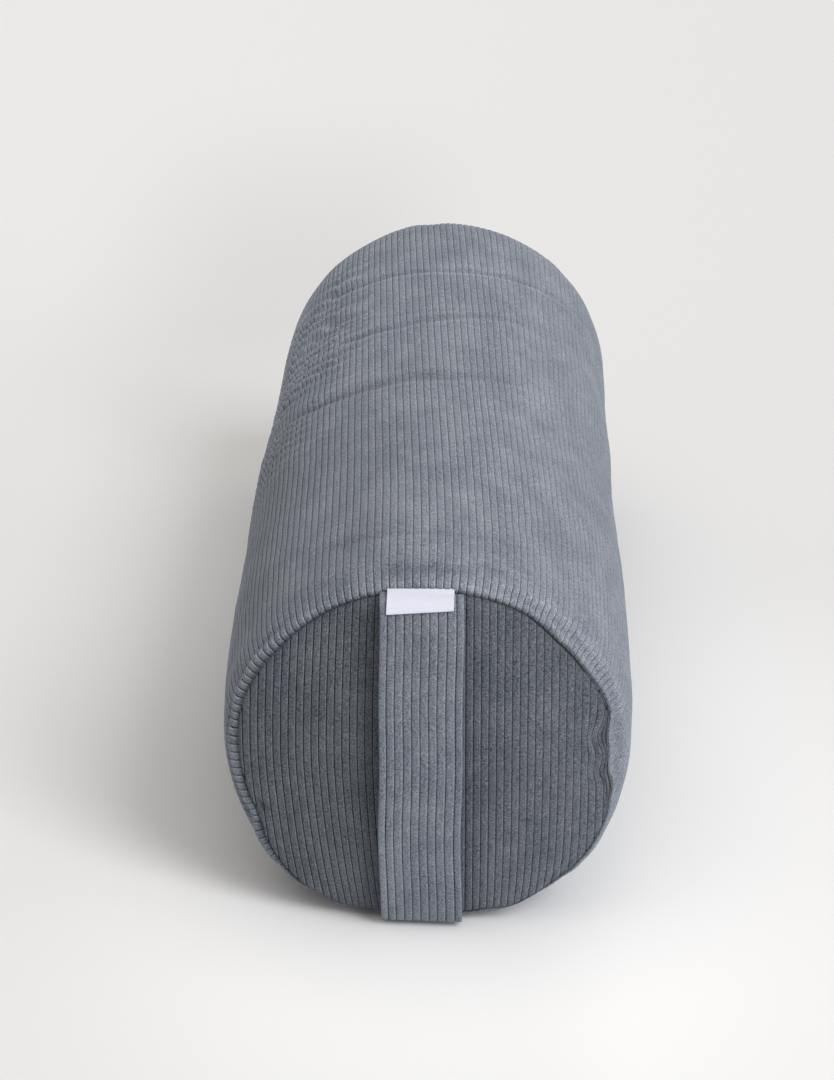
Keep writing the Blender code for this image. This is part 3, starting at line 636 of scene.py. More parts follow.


# Folds across the top: (x, y, strength) from left to right, then depth, width, painted highlight on the lip
# and painted shade in the hollow
CREASES = (
    # Far fold, a fine light lip with a dark band beyond
    (((-0.104, 0.240, 0.3), (-0.078, 0.205, 0.6), (-0.057, 0.194, 0.9), (-0.023, 0.188, 1.0),
      (0.004, 0.188, 1.0), (0.024, 0.192, 1.0), (0.052, 0.203, 0.9), (0.066, 0.212, 0.7),
      (0.090, 0.228, 0.4), (0.106, 0.236, 0.2)), 0.0010, 0.0065, 0.32, 0.14),
    # Shallow fold behind the middle one
    (((-0.085, 0.150, 0.0), (-0.060, 0.125, 0.6), (-0.035, 0.110, 0.7), (-0.010, 0.108, 0.6),
      (0.010, 0.112, 0.4), (0.030, 0.120, 0.0)), 0.0005, 0.0044, 0.12, 0.10),
    # Middle fold
    (((-0.106, 0.151, 0.3), (-0.080, 0.109, 0.9), (-0.053, 0.090, 1.1), (-0.030, 0.087, 1.0),
      (-0.007, 0.092, 0.9), (0.012, 0.100, 0.7), (0.040, 0.114, 0.4), (0.070, 0.121, 0.0)),
     0.0010, 0.0075, 0.24, 0.20),
    # Near fold, the deepest, strongest left of the middle
    (((-0.107, 0.036, 0.5), (-0.090, 0.013, 0.8), (-0.077, -0.002, 1.1), (-0.058, -0.0105, 1.2),
      (-0.039, -0.0110, 1.0), (-0.012, -0.0095, 0.85), (0.005, -0.0095, 0.75), (0.018, -0.0050, 0.6),
      (0.048, 0.012, 0.4), (0.080, 0.032, 0.0)), 0.0010, 0.0115, 0.12, 0.30),
    # Faint dent behind the seam
    (((-0.080, -0.225, 0.0), (-0.050, -0.238, 0.6), (-0.020, -0.243, 0.8), (0.010, -0.245, 0.4),
      (0.040, -0.240, 0.6), (0.070, -0.225, 0.0)), 0.0007, 0.0050, 0.05, 0.10),
)
NEAR_FOLD = CREASES[3][0]
# Brushed spots and dents on top, darker for their brushed pile and for painted shade in the dents, as (x, y,
# half width, half length, change of brightness)
BRUSHED_AND_SHADED_SPOTS = (
    (-0.004, -0.2815, 0.024, 0.0045, -0.24), (0.034, -0.274, 0.010, 0.0045, -0.24),
    (0.046, -0.262, 0.009, 0.0050, -0.22), (0.028, -0.253, 0.014, 0.0040, -0.12),
    (-0.050, -0.238, 0.018, 0.0060, -0.12), (-0.020, -0.226, 0.012, 0.0050, -0.08),
    (0.052, -0.205, 0.022, 0.0060, -0.09), (0.030, -0.190, 0.018, 0.0050, 0.07),
    (0.010, 0.240, 0.030, 0.0120, -0.06),
)
# The seam allowance, as distances back along the bolster and inwards from the seam, and how dark it is
# painted as shade inside the seam
TUCK_STEPS = ((0.0012, 0.0006), (0.0040, 0.0007), (0.0080, 0.0006))
TUCK_SHADE = 0.25


def crease(points, path, depth, wide, light, dark):
    """A fold across the top, with a lip on its near side and a hollow beyond: rise, and the painted highlight
    on the lip and painted shade in the hollow.
    """
    x, y, z = points[..., 0], points[..., 1], points[..., 2]
    knots = np.array(path).T
    strength = np.interp(x, knots[0], knots[2], 0.0, 0.0) * ramp(z, 0.08, 0.11)
    beyond = y - np.interp(x, knots[0], knots[1])
    hollow = hump(beyond - 0.55 * wide, 0.62 * wide)
    rise = 0.50 * hump(beyond + 0.0034, 0.0032) - hollow + 0.40 * hump(beyond - 2.2 * wide, wide)
    # The lip is painted lighter as a highlight and the hollow darker as shade
    lip = hump(beyond + 0.0020, 0.0026) + 0.5 * hump(beyond - 1.75 * wide, 0.0026)
    return strength * depth * rise, strength * (light * lip - dark * hollow)


def puckers(points, lanes, along):
    """Fine folds, -1 to 1 high, that fan over the left flank beside the near fold, broken at each rib."""
    x, y, z = points[..., 0], points[..., 1], points[..., 2]
    flank = ramp(-x, 0.040, 0.075) * ramp(z, 0.106, 0.128) * ramp(y, -0.10, 0.0) * ramp(y, 0.275, 0.215)
    flank *= 0.85 + 0.5 * ramp(y, 0.02, 0.08)
    fan = np.interp(x, *np.array(NEAR_FOLD).T[:2])
    wander = uneven(41, along, lanes / TUBE_WALES, 22, 12)
    step = np.random.default_rng(44).normal(0.0, 0.08, TUBE_WALES)[np.floor(lanes).astype(int) % TUBE_WALES]
    spacing = 0.0125 + 0.012 * np.clip(y, 0.0, 0.25)
    phase = (y - fan) / spacing + 0.42 * wander + step
    away = np.abs(phase - np.round(phase))
    wave = 1.5 * hump(away, 0.17) - 0.7 + 0.25 * np.cos(2 * np.pi * phase)
    strength = np.clip(0.74 + 0.70 * uneven(43, along, lanes / TUBE_WALES, 26, 16), 0.0, 1.25)
    return flank * wave * strength


def right_shoulder(points, near):
    """The edge that the cloth turns over beside the seam, on the upper right of the handle end, with a
    painted highlight along the edge and painted shade in the dip inside it.
    """
    x, z = points[..., 0], points[..., 2]
    right = ramp(x, 0.020, 0.050) * ramp(z, 0.070, 0.100)
    edge = 0.0125 - 0.03 * np.maximum(0.10 - z, 0.0)
    rise = 0.0013 * hump(near - edge, 0.0040) - 0.0013 * hump(near - edge / 2, 0.0042)
    # Painted highlight along the turned edge, painted shade in the dip before it
    nap = 0.14 * hump(near - edge, 0.0022) - 0.10 * hump(near - edge / 2, 0.0040)
    return right * rise, right * nap


def folded(points, lanes, along, near):
    """Rise of the tube with its folds, puckers, brushed spots and shoulder, and the painted light and shade
    that go with them on the pile.
    """
    pucker = puckers(points, lanes, along)
    # The puckers' ridges are painted lighter and their troughs darker
    changes = [crease(points, *fold) for fold in CREASES] + [(0.00072 * pucker, 0.20 * pucker)]
    on_top = points[..., 2] > 0.1
    # Each spot's dent carries painted shade and its bump painted light, over the brushed pile
    for x, y, wide, long, change in BRUSHED_AND_SHADED_SPOTS:
        spot = change * hump(points[..., 0] - x, wide) * hump(points[..., 1] - y, long) * on_top
        changes.append((0.004 * spot, spot))
    changes.append(right_shoulder(points, near))
    return sum(rise for rise, _ in changes), 1.0 + sum(nap for _, nap in changes)


def tube_rows():
    """Places along the tube, in rings of the coarse grid, closer together at the seams."""
    path = steps_between(np.stack([TUBE[:, 0, 0], TUBE[:, :, 1].mean(1), TUBE[:, 0, 2]], 1))
    length = path[-1]
    near = np.cumsum(np.concatenate([[0.0], np.linspace(0.0008, 0.0026, 24)]))
    middle = np.linspace(near[-1], length - near[-1], round((length - 2 * near[-1]) / 0.0026) + 1)[1:-1]
    places = np.concatenate([near, middle, (length - near)[::-1]])
    return np.interp(places, path, np.arange(len(path))), places, length


def seam_roll(from_seam):
    """How far the gathered cloth bulges outwards along Y beside an end seam."""
    return 0.0011 * hump(from_seam - 0.0036, 0.0030)


class Regions:
    """How much each point of the tube belongs to a region of its own look, from 0 to 1."""

    def __init__(self, points, near):
        angle = seam_angle(points[..., 0], points[..., 2])
        wrapped = angle % 360.0
        self.roped = 1.0 - turned_under(angle)
        self.smooth = between(angle, -60.0, 8.0, 12.0)
        self.pressed = self.smooth * hump(near, 0.028)
        self.raked = between(angle, -80.0, 48.0, 30.0)
        self.crisp = between(angle, 18.0, 172.0, 8.0) * hump(near - 0.006, 0.010)
        self.gathered = between(wrapped, 136.0, 180.0, 18.0)
        self.left_rope = between(wrapped, 146.0, 222.0, 14.0)
        self.left_flank = between(wrapped, 152.0, 230.0, 26.0)
        self.left = between(wrapped, 118.0, 230.0, 30.0)

    def nap(self, y, near, far):
        """Painted light and shade on the pile: highlights on the ropes beside the seam, shade in the seams
        and beside the left rope, and shade on the left flank that turns lighter towards the far end.
        """
        # Painted highlight on the raised ropes beside the seam
        rope = 0.14 * self.roped * (1.0 - self.smooth) + 0.20 * self.left_rope
        nap = 1.0 + rope * hump(near - 0.0042, 0.0026)
        # Painted shade in the groove beside the left rope
        nap *= 1.0 - 0.28 * self.left_rope * hump(near - 0.0098, 0.0024)
        # Painted shade in both seams
        nap *= (1.0 - 0.75 * hump(near, 0.0018)) * (1.0 - 0.6 * hump(far, 0.0016))
        # Painted shade on the left flank, turning to painted light towards the far end
        nap *= 1.0 - self.left_flank * (0.19 - 0.28 * ramp(y, 0.0, 0.16))
        # Painted shade over the near part of the left side
        return nap * (1.0 - 0.18 * self.left * ramp(y, 0.03, -0.09))

    def ribs(self):
        """How strongly the grooves' dark, partly painted shade, and the ribs' painted edge highlight show:
        least where pressed flat and where the light rakes along them, most on the left flank and beside the
        seam over the top.
        """
        return 1.0 - 0.45 * self.raked - 0.45 * self.pressed + 0.5 * self.crisp + 0.7 * self.left_flank

    def rope_rise(self, near):
        return 0.0009 * self.left_rope * (hump(near - 0.0042, 0.0027) - hump(near - 0.0100, 0.0028))

    def wale_height(self, lanes, from_end):
        """Rise of the wales, taller where the cloth is gathered and lower where it is pressed flat."""
        gather = 1.0 + (0.7 + 0.7 * self.left_rope) * hump(from_end - 0.003, 0.006) + 0.6 * self.gathered
        return (wale_rise(lanes) * gather * (1.0 - 0.75 * self.pressed) - 0.4) * WALE_HEIGHT


def slack(points, along, shares, from_end):
    """Rise of the slack at the seams and of the filling's lumps, level beside the zip."""
    seams = uneven(3, along, shares, 44, 62) * hump(from_end - 0.006, 0.012) * 0.0007
    fine = uneven(5, along, shares, 40, 30) * 0.00025
    broad = uneven(8, along, shares, 9, 7) * 0.0009
    return (seams + fine + broad) * zip_guard(points)


def turned_in(row, inwards):
    """Rings of the seam allowance, turned in from an end row of the tube."""
    flat = MIDDLE - row[:, [0, 2]]
    flat /= np.linalg.norm(flat, axis=1)[:, None]
    rings = np.repeat(row[None], len(TUCK_STEPS), axis=0)
    for ring, (back, deep) in zip(rings, TUCK_STEPS):
        ring[:, [0, 2]] += flat * deep
        ring[:, 1] += inwards * back
    return rings


def slot_cut(y, columns, wide, spare):
    """Rows of faces that the zip's slot takes, and which faces stay, for a slot of some columns each way."""
    taken = (y[:-1] > ZIP_OPEN_Y - spare) & (y[1:] < ZIP_CLOSED_Y + spare)
    keep = np.ones((len(taken), columns), bool)
    keep[np.ix_(taken, np.r_[0:wide, columns - wide : columns])] = False
    return np.flatnonzero(taken), keep


def slot_loop(index, rows, wide):
    """Vertices round the zip's slot: up one side, across, down the other and back."""
    columns = index.shape[1]
    first, last = rows[0], rows[-1] + 1
    across = [k % columns for k in range(-wide, wide + 1)]
    up = [index[r, wide] for r in range(first, last)]
    over = [index[last, k] for k in across[::-1]]
    down = [index[r, (-wide) % columns] for r in range(last - 1, first, -1)]
    back = [index[first, k] for k in across[:-1]]
    return up + over + down + back


def add_lining(sewing, shares):
    """The tube's lining, one column to a wale, with its own slot. Gives its vertices and the slot's rows."""
    rows = np.concatenate([[0.0], np.arange(2, len(TUBE) - 2, 1.0), [len(TUBE) - 1.0]])
    points = smooth_grid(TUBE, rows, shares * AROUND)
    points -= grid_normals(points) * COVER_CLOTH
    y = points[..., 1]
    y[:] = np.clip(y, HANDLE_SEAM_Y + 0.012, PLAIN_SEAM_Y - 0.012)
    for slot_end, inside in ((ZIP_OPEN_Y, 0.0001), (ZIP_CLOSED_Y, -0.0001)):
        y[np.argmin(np.abs(y[:, 0] - slot_end))] = slot_end + inside
    slot_rows, keep = slot_cut(y[:, 0], TUBE_WALES, 1, 0.0)
    uv = uv_grid(np.arange(TUBE_WALES + 1) / UV_WALES, y[:, :1] + 0.3)
    return sewing.grid(points, uv, keep, turned=True), slot_rows


def make_tube(material):
    """The tube: ribbed cloth with folds, turned in at both seams, and a lining. Gives its outer grid too."""
    rows, places, length = tube_rows()
    lanes, shares = wale_lanes()
    columns = twisted(rows, shares)
    points = smooth_points(TUBE, np.repeat(rows, len(shares)), columns.reshape(-1)).reshape(*columns.shape, 3)
    along = places / length
    near, far = places[:, None], (length - places)[:, None]
    from_end = np.minimum(near, far)
    regions = Regions(points, near)
    rise, nap = folded(points, lanes, along, near)
    nap *= regions.nap(points[..., 1], near, far)
    ribs = regions.ribs()
    out = grid_normals(points)
    points += out * (rise + regions.rope_rise(near))[..., None]
    points += out * slack(points, along, shares, from_end)[..., None]
    points[..., 1] += seam_roll(far) - seam_roll(near) * regions.roped * (1.0 - 0.7 * regions.smooth)
    points += grid_normals(points) * regions.wale_height(lanes, from_end)[..., None]
    points[..., 2] = np.maximum(points[..., 2], 0.0)
    cloth = np.concatenate([turned_in(points[0], 1)[::-1], points, turned_in(points[-1], -1)])
    added = ((len(TUCK_STEPS), len(TUCK_STEPS)), (0, 0))
    nap = np.pad(nap, added, constant_values=TUCK_SHADE)
    ribs = np.pad(ribs, added, mode="edge")
    uv = uv_grid(np.append(lanes, TUBE_WALES) / UV_WALES, places[:, None])
    uv = np.pad(uv, (*added, (0, 0)), mode="edge")
    sewing = Sewing()
    per_wale = len(WALE_FRACTIONS)
    slot_rows, keep = slot_cut(cloth[:, 0, 1], len(lanes), per_wale, 0.0013)
    index = sewing.grid(cloth, uv, keep, nap=nap, ribs=ribs)
    lining, lining_rows = add_lining(sewing, shares[::per_wale])
    sewing.sew(index[0], lining[0])
    sewing.sew(index[-1], lining[-1], turned=True)
    sewing.sew(slot_loop(index, slot_rows, per_wale), slot_loop(lining, lining_rows, 1), turned=True)
    return sewing.finish("cover_tube_cloth", material), points


def zip_guard(points):
    """0 on the cloth beside the zip, which stays flat, and 1 away from it."""
    x, y, z = points[..., 0], points[..., 1], points[..., 2]
    aside = np.hypot(x - ZIP_MIDDLE[0], z - ZIP_MIDDLE[1])
    beyond = np.maximum(ZIP_OPEN_Y - y, y - ZIP_CLOSED_Y)
    return np.maximum(ramp(aside, 0.012, 0.027), ramp(beyond, 0.0, 0.02))


# The end panels

# Dents in the handle panel, as (x, z), half width and half length, slope, depth and darkness of their painted
# shade, negative where a bump is painted lighter
PANEL_DENTS = (
    ((0.0880, 0.1270), (0.0014, 0.0060), 0.30, 0.0008, 0.22),
    ((0.0935, 0.1115), (0.0013, 0.0065), -0.30, 0.0010, 0.45),
    ((0.0950, 0.0945), (0.0013, 0.0060), -0.25, 0.0009, 0.45),
    ((0.0885, 0.1130), (0.0016, 0.0080), -0.25, -0.0008, -0.18),
    ((0.0870, 0.0960), (0.0020, 0.0060), 0.10, -0.0005, -0.12),
    ((-0.0905, 0.0680), (0.0040, 0.0030), 0.60, 0.0018, 0.35),
    ((0.0700, 0.0300), (0.0016, 0.0080), 0.30, 0.0010, 0.25),
    ((0.0760, 0.0350), (0.0016, 0.0080), 0.40, 0.0010, 0.20),
)
# Kinks of the ribs at the right, as (height from the middle, half length, distance to the left)
RIB_KINKS = ((0.014, 0.0085, 0.0040), (-0.006, 0.0060, 0.0022))
PANEL_STEPS = 104
# Border turned into the seam, as (share of the way out, distance back, share of the ribs' height)
PANEL_BORDER = ((0.992, 0.0, 1.0), (1.0, 0.0010, 0.8), (0.998, 0.0040, 0.3), (0.995, 0.0085, 0.0))
# How dark the border inside the seam is painted, as shade
PANEL_BORDER_SHADE = 0.35
PANEL_LINING = (0.97, 0.80, 0.55, 0.28)
# Where the panels lie in cloth coordinates: wales across and metres along
PANEL_UV = (80, 0.15)


class Dome:
    """The stuffed surface of a round end, read at flat points (x, z)."""

    def __init__(self, end):
        rings = DOMES[end]
        crown = np.repeat(CROWNS[end][None, None], AROUND, axis=1)
        self.grid = np.concatenate([rings, crown, np.roll(rings[-1:], AROUND // 2, axis=1)])
        self.ring_shares = np.array([1.0, *DOME_SHARES, 0.0])
        around = np.linspace(0.0, 1.0, 1440, endpoint=False)
        self.rim = on_section(around, SEAM_DRAW_IN) - MIDDLE
        angle = np.unwrap(np.arctan2(self.rim[:, 1], self.rim[:, 0]))
        order = np.argsort(angle)
        self.angle = np.concatenate([angle[order] - 2 * np.pi, angle[order], angle[order] + 2 * np.pi])
        self.around = np.unwrap(np.tile(around[order], 3) * 2 * np.pi) / (2 * np.pi)
        self.reach = np.tile(np.hypot(self.rim[:, 0], self.rim[:, 1])[order], 3)

    def share_out(self, off):
        """Shares of the way out to the rim, for flat points given from the middle."""
        turned = np.arctan2(off[:, 1], off[:, 0])
        return np.hypot(off[:, 0], off[:, 1]) / np.interp(turned, self.angle, self.reach)

    def at(self, flat):
        """Points of the dome, and their shares of the way out, for flat points (x, z)."""
        off = flat.reshape(-1, 2) - MIDDLE
        share = self.share_out(off)
        column = np.interp(np.arctan2(off[:, 1], off[:, 0]), self.angle, self.around) % 1.0
        row = np.interp(-share, -self.ring_shares, np.arange(len(self.ring_shares)))
        found = smooth_points(self.grid, row, column * AROUND)
        return found.reshape(*flat.shape[:-1], 3), share.reshape(flat.shape[:-1])


def rib_line(lane, heights, end):
    """Where a rib of an end panel runs: its x at each height, bent on the handle panel as photographed."""
    x = np.full(len(heights), lane * PANEL_WALE)
    if end == 0:
        left, down, up = ramp(x, 0.015, -0.070), ramp(heights, 0.005, -0.095), ramp(heights, 0.010, 0.090)
        x = x + 0.0105 * smoothstep(left) * down**1.5
        x = x - 0.0060 * hump(x - 0.075, 0.030) * down**4
        x = x + 0.0035 * left * up**1.5
        for height, tall, aside in RIB_KINKS:
            x = x - aside * hump(lane * PANEL_WALE - 0.094, 0.0075) * hump(heights - height, tall)
    return x


def rib_columns(dome, turn, end):
    """Columns, six to a wale, from the bottom of the round to its top: wale numbers, steps and points."""
    seam, _ = dome.at(MIDDLE + dome.rim)
    rim = (seam[:, [0, 2]] - MIDDLE) @ turn
    heights = np.linspace(rim[:, 1].min(), rim[:, 1].max(), 900)[1:-1]
    sides = []
    for side in (rim[rim[:, 0] < 0], rim[rim[:, 0] >= 0]):
        side = side[np.argsort(side[:, 1])]
        sides.append(np.interp(heights, side[:, 1], side[:, 0]) * 0.985)
    t = np.linspace(0.0, 1.0, PANEL_STEPS)
    t = 0.35 * t + 0.65 * (0.5 - 0.5 * np.cos(np.pi * t))
    lanes, columns = [], []
    for lane in (np.arange(-30, 30)[:, None] + np.array(WALE_FRACTIONS)).reshape(-1):
        x = rib_line(lane, heights, end)
        inside = heights[(x > sides[0]) & (x < sides[1])]
        if len(inside) > 36:
            up = inside[0] + (inside[-1] - inside[0]) * t
            lanes.append(lane)
            columns.append(np.stack([np.interp(up, heights, x), up], axis=-1))
    return np.array(lanes), t, np.stack(columns, axis=1)


def panel_surface(end, flat, share, t):
    """How far the filling pushes a panel out, its brightness with painted light and shade, and how strongly
    the painted shade of its grooves shows.
    """
    across = np.linspace(0, 0.9, flat.shape[1])
    ripple = uneven(21 + end, t, across, 9, 9) * 0.0008 * (1.0 - share**6)
    nap = 1.0 + 0.05 * uneven(25 + end, t, across, 7, 8)
    # Painted shade where the panel turns into the seam
    nap *= 1.0 - 0.34 * hump(share - 1.0, 0.020)
    ribs = np.ones(nap.shape)
    if end == 0:
        x, z = flat[..., 0], flat[..., 1]
        # Painted light: the handle panel lighter towards the right, where the light falls, and in its upper
        # right
        nap *= 1.0 + 0.12 * x / 0.09 + 0.05 * hump(x - 0.06, 0.03) * hump(z - 0.15, 0.03)
        # The grooves' painted shade fainter on the lit right
        ribs -= 0.45 * np.clip(x / 0.07, -1.0, 1.0)
        for (x, z), (wide, long), slope, depth, dark in PANEL_DENTS:
            right, up = flat[..., 0] - x, flat[..., 1] - z
            along = up * math.cos(slope) + right * math.sin(slope)
            aside = right * math.cos(slope) - up * math.sin(slope)
            dent = hump(along, long) * hump(aside, wide)
            ripple -= depth * dent
            # Painted shade in the dents, painted highlight on the bumps
            nap -= dark * dent
    return ripple, nap, ribs


def edge_of(rows, columns):
    """Rows and columns of a grid's edge, once round."""
    loop = [(0, j) for j in range(columns)] + [(i, columns - 1) for i in range(1, rows)]
    loop += [(rows - 1, j) for j in range(columns - 2, -1, -1)] + [(i, 0) for i in range(rows - 2, 0, -1)]
    return tuple(np.array(loop).T)


def by_angle(points, index):
    """A ring's vertices in the order of their angle round the middle, and these angles, closed."""
    angle = np.arctan2(points[:, 2] - MIDDLE[1], points[:, 0])
    order = np.argsort(angle)
    return index[order].tolist(), np.append(angle[order], angle[order[0]] + 2 * np.pi)


def closed(uv):
    """Cloth coordinates of a grid that is closed across."""
    return np.concatenate([uv, uv[:, :1]], axis=1)


def make_panel(name, end, material):
    """A round end panel, whose wales run straight up over the stuffed dome."""
    outwards = (-1, 1)[end]
    turned = outwards > 0
    dome = Dome(end)
    lean = LEAN if end == 0 else 0.0
    turn = np.array([[math.cos(lean), -math.sin(lean)], [math.sin(lean), math.cos(lean)]])
    lanes, t, straight = rib_columns(dome, turn, end)
    # The swollen dome isn't straight above its flat points, so these are moved until it is
    wanted = MIDDLE + straight @ turn.T
    flat = wanted.copy()
    for _ in range(8):
        points, share = dome.at(flat)
        flat = flat + wanted - points[..., [0, 2]]
        flat = MIDDLE + (flat - MIDDLE) / np.maximum(share / 0.986, 1.0)[..., None]
    points, share = dome.at(flat)
    ripple, nap, ribs = panel_surface(end, flat, share, t)
    points[..., 1] += outwards * ripple
    normal = grid_normals(points, closed=False)
    if normal[PANEL_STEPS // 2, len(lanes) // 2, 1] * outwards < 0:
        normal = -normal
    rise = np.broadcast_to((wale_rise(lanes) * 1.25 - 0.4) * WALE_HEIGHT, share.shape)
    points += normal * rise[..., None]
    sewing = Sewing()
    uv = uv_grid((lanes + PANEL_UV[0]) / UV_WALES, straight[..., 1] + PANEL_UV[1])
    index = sewing.grid(points, uv, turned=turned, nap=nap, ribs=ribs)
    # The border turned into the seam
    edge = edge_of(*share.shape)
    off = flat[edge] - MIDDLE
    border, border_uv = [], []
    for wanted, back, part in PANEL_BORDER:
        out_flat = off * (wanted / dome.share_out(off))[:, None]
        ring, _ = dome.at(MIDDLE + out_flat)
        ring[:, 1] += outwards * (rise[edge] * part - back)
        border.append(ring)
        border_uv.append(uv_grid(uv[edge][:, 0], (out_flat @ turn)[:, 1] + PANEL_UV[1]))
    border = np.array(border)
    border_shade = np.full(border.shape[:2], PANEL_BORDER_SHADE)
    border_index = sewing.grid(border, closed(np.array(border_uv)), turned=not turned, nap=border_shade)
    pairs = list(zip(index[edge].tolist(), border_index[0].tolist()))
    sewing.add_faces([
        [a, b, d, c] if turned else [a, c, d, b] for (a, b), (c, d) in zip(pairs, pairs[1:] + pairs[:1])
    ])
    # Inside of the cloth
    inside = np.array([dome.at(MIDDLE + dome.rim[::20] * share_out * 0.985)[0] for share_out in PANEL_LINING])
    inside[..., 1] -= outwards * COVER_CLOTH
    inside_uv = uv_grid((inside[..., 0] / PANEL_WALE + PANEL_UV[0]) / UV_WALES, inside[..., 2] + 0.05)
    inner = sewing.grid(inside, closed(inside_uv), turned=turned)
    outer_line, outer_angles = by_angle(border[-1], border_index[-1])
    inner_line, inner_angles = by_angle(inside[0], inner[0])
    sewing.sew(outer_line, inner_line, turned=not turned, angles=(outer_angles, inner_angles))
    crown = CROWNS[end] - np.array([0.0, outwards * COVER_CLOTH, 0.0])
    sewing.fan(inner[-1].tolist(), crown, (0.5, 0.15), turned=turned)
    return sewing.finish(name, material)


# The strap handle

STRAP_WIDTH = 0.044
STRAP_THICKNESS = 0.0040
STRAP_SEWN_THICKNESS = 0.0016
STRAP_TAPER = 0.010
STRAP_LEFT = -0.0031 - STRAP_WIDTH / 2
STRAP_GAP = 0.0075
STRAP_FLOOR_GAP = 0.0006
STRAP_GROOVES = (0.0, 0.0039, 0.0082, 0.0128, 0.0172, 0.0216, 0.0261, 0.0305, 0.0352, 0.0402, 0.0440)
# The strap's bow from the top seam to the bottom one, as (share of its reach, share of half its height)
STRAP_BOW = ((0.00, 1.0), (0.40, 0.96), (0.70, 0.78), (0.92, 0.40), (1.00, 0.0), (0.93, -0.42), (0.68, -0.80))
STITCH_GROOVES = (1, 9)
STITCH_LENGTH = 0.0026
STITCH_PULL = 0.00035
STITCH_STEPS = np.linspace(0.0, 1.0, 5)


def strap_line():
    """Middle line (y, z) of the strap, from the top seam to the bottom seam."""
    top, bottom = BODY_HEIGHT - SEAM_DRAW_IN, SEAM_DRAW_IN
    middle, half = (top + bottom) / 2, (top - bottom) / 2
    floor = STRAP_FLOOR_GAP + STRAP_THICKNESS / 2
    outline = [(out, middle + up * half) for out, up in STRAP_BOW]
    outline = np.array(outline + [(0.34, floor + 0.04 * half), (0.12, floor), (0.00, middle - half)])
    reach = END_CROWN + STRAP_GAP + STRAP_THICKNESS / 2 - 0.0006
    controls = np.stack([HANDLE_SEAM_Y - 0.0006 - outline[:, 0] * reach, outline[:, 1]], axis=1)
    ends = np.vstack([2 * controls[0] - controls[1], controls, 2 * controls[-1] - controls[-2]])
    near, share = weights(np.linspace(1.0, len(controls), 600), len(ends), False)
    line = np.einsum("nk,nkc->nc", share, ends[near])
    line[:, 1] = np.maximum(line[:, 1], min(floor, controls[-1, 1])) + 0.0015 * hump(line[:, 1], 0.016)
    line[:, 1] -= 0.0023 * between(line[:, 1], top - 0.004, top + 0.010, 0.030)
    return line


STRAP_LINE = strap_line()
STRAP_PATH = steps_between(STRAP_LINE)
STRAP_LENGTH = STRAP_PATH[-1]


def on_strap(at):
    """Points (y, z) of the strap's middle line, at distances along it."""
    return np.stack([np.interp(at, STRAP_PATH, STRAP_LINE[:, k]) for k in (0, 1)], axis=-1)


def strap_ways(start, end):
    """Unit vectors (y, z) along the strap between distances along it, and out of its front."""
    along = on_strap(end) - on_strap(start)
    along /= np.linalg.norm(along, axis=-1)[..., None]
    return along, np.stack([along[..., 1], -along[..., 0]], axis=-1)


def strap_thickness(from_end):
    return STRAP_SEWN_THICKNESS + (STRAP_THICKNESS - STRAP_SEWN_THICKNESS) * ramp(from_end, 0.0, STRAP_TAPER)


def strap_aside(at):
    """How far to the right the strap lies at distances along it, as it leans and sways a little."""
    lean = (BODY_HEIGHT / 2 - on_strap(at)[..., 1]) * math.tan(LEAN)
    return lean + 0.0005 * np.sin(at / 0.037 + 0.6) + 0.0003 * np.sin(at / 0.013)


def with_x(x, flat):
    """Points (x, y, z), from x and from points (y, z)."""
    return np.concatenate([np.broadcast_to(x, flat.shape[:-1])[..., None], flat], axis=-1)


def strap_profile():
    """Round the strap's section: distance across, share of half the thickness, and wale number."""
    across, rise, lanes = [], [], []
    for k, (low, high) in enumerate(zip(STRAP_GROOVES, STRAP_GROOVES[1:])):
        for fraction, height in zip(WALE_FRACTIONS, WALE_SHAPE):
            if k == 0 and fraction == 0.0:
                continue
            across.append(low + (high - low) * fraction)
            rise.append(0.60 + 0.40 * height)
            lanes.append(k + fraction)
    # Down the right edge, back along the hidden side, and up the left edge
    back = np.linspace(STRAP_WIDTH - 0.0006, 0.0006, 14)
    across += [STRAP_WIDTH, *back, 0.0]
    rise += [0.45, -0.8, *[-1.0] * 12, -0.8, 0.45]
    lanes += [10.0, *(10.0 + (STRAP_WIDTH - back) / 0.0044), 20.0]
    return np.array(across), np.array(rise), np.array(lanes)


def make_strap(name, start, end, material):
    """A part of the strap, with wales, folded edges and dips where the top stitching pulls it in."""
    rows = np.linspace(start, end, 64)
    across, rise, lanes = strap_profile()
    thick = strap_thickness(np.minimum(rows, STRAP_LENGTH - rows))
    wave = uneven(31, rows / STRAP_LENGTH, np.linspace(0, 0.8, len(across)), 16, 4) * 0.00035
    lift = rise * (thick[:, None] / 2) + wave * np.sign(rise)
    for groove in STITCH_GROOVES:
        lift -= STITCH_PULL * hump(across - STRAP_GROOVES[groove], 0.0007) * (rise > 0)
    _, front = strap_ways(rows - 0.001, rows + 0.001)
    flat = on_strap(rows)[:, None, :] + front[:, None, :] * lift[..., None]
    points = with_x(STRAP_LEFT + across + strap_aside(rows)[:, None], flat)
    uv = uv_grid((np.append(lanes, lanes[0]) + 100.0) / UV_WALES, rows[:, None] + 0.1)
    sewing = Sewing()
    index = sewing.grid(points, uv, turned=True)
    for row, turned in ((0, True), (-1, False)):
        sewing.fan(index[row].tolist(), points[row].mean(axis=0), (0.8, 0.2), turned=turned)
    return sewing.finish(name, material, sharp=60)


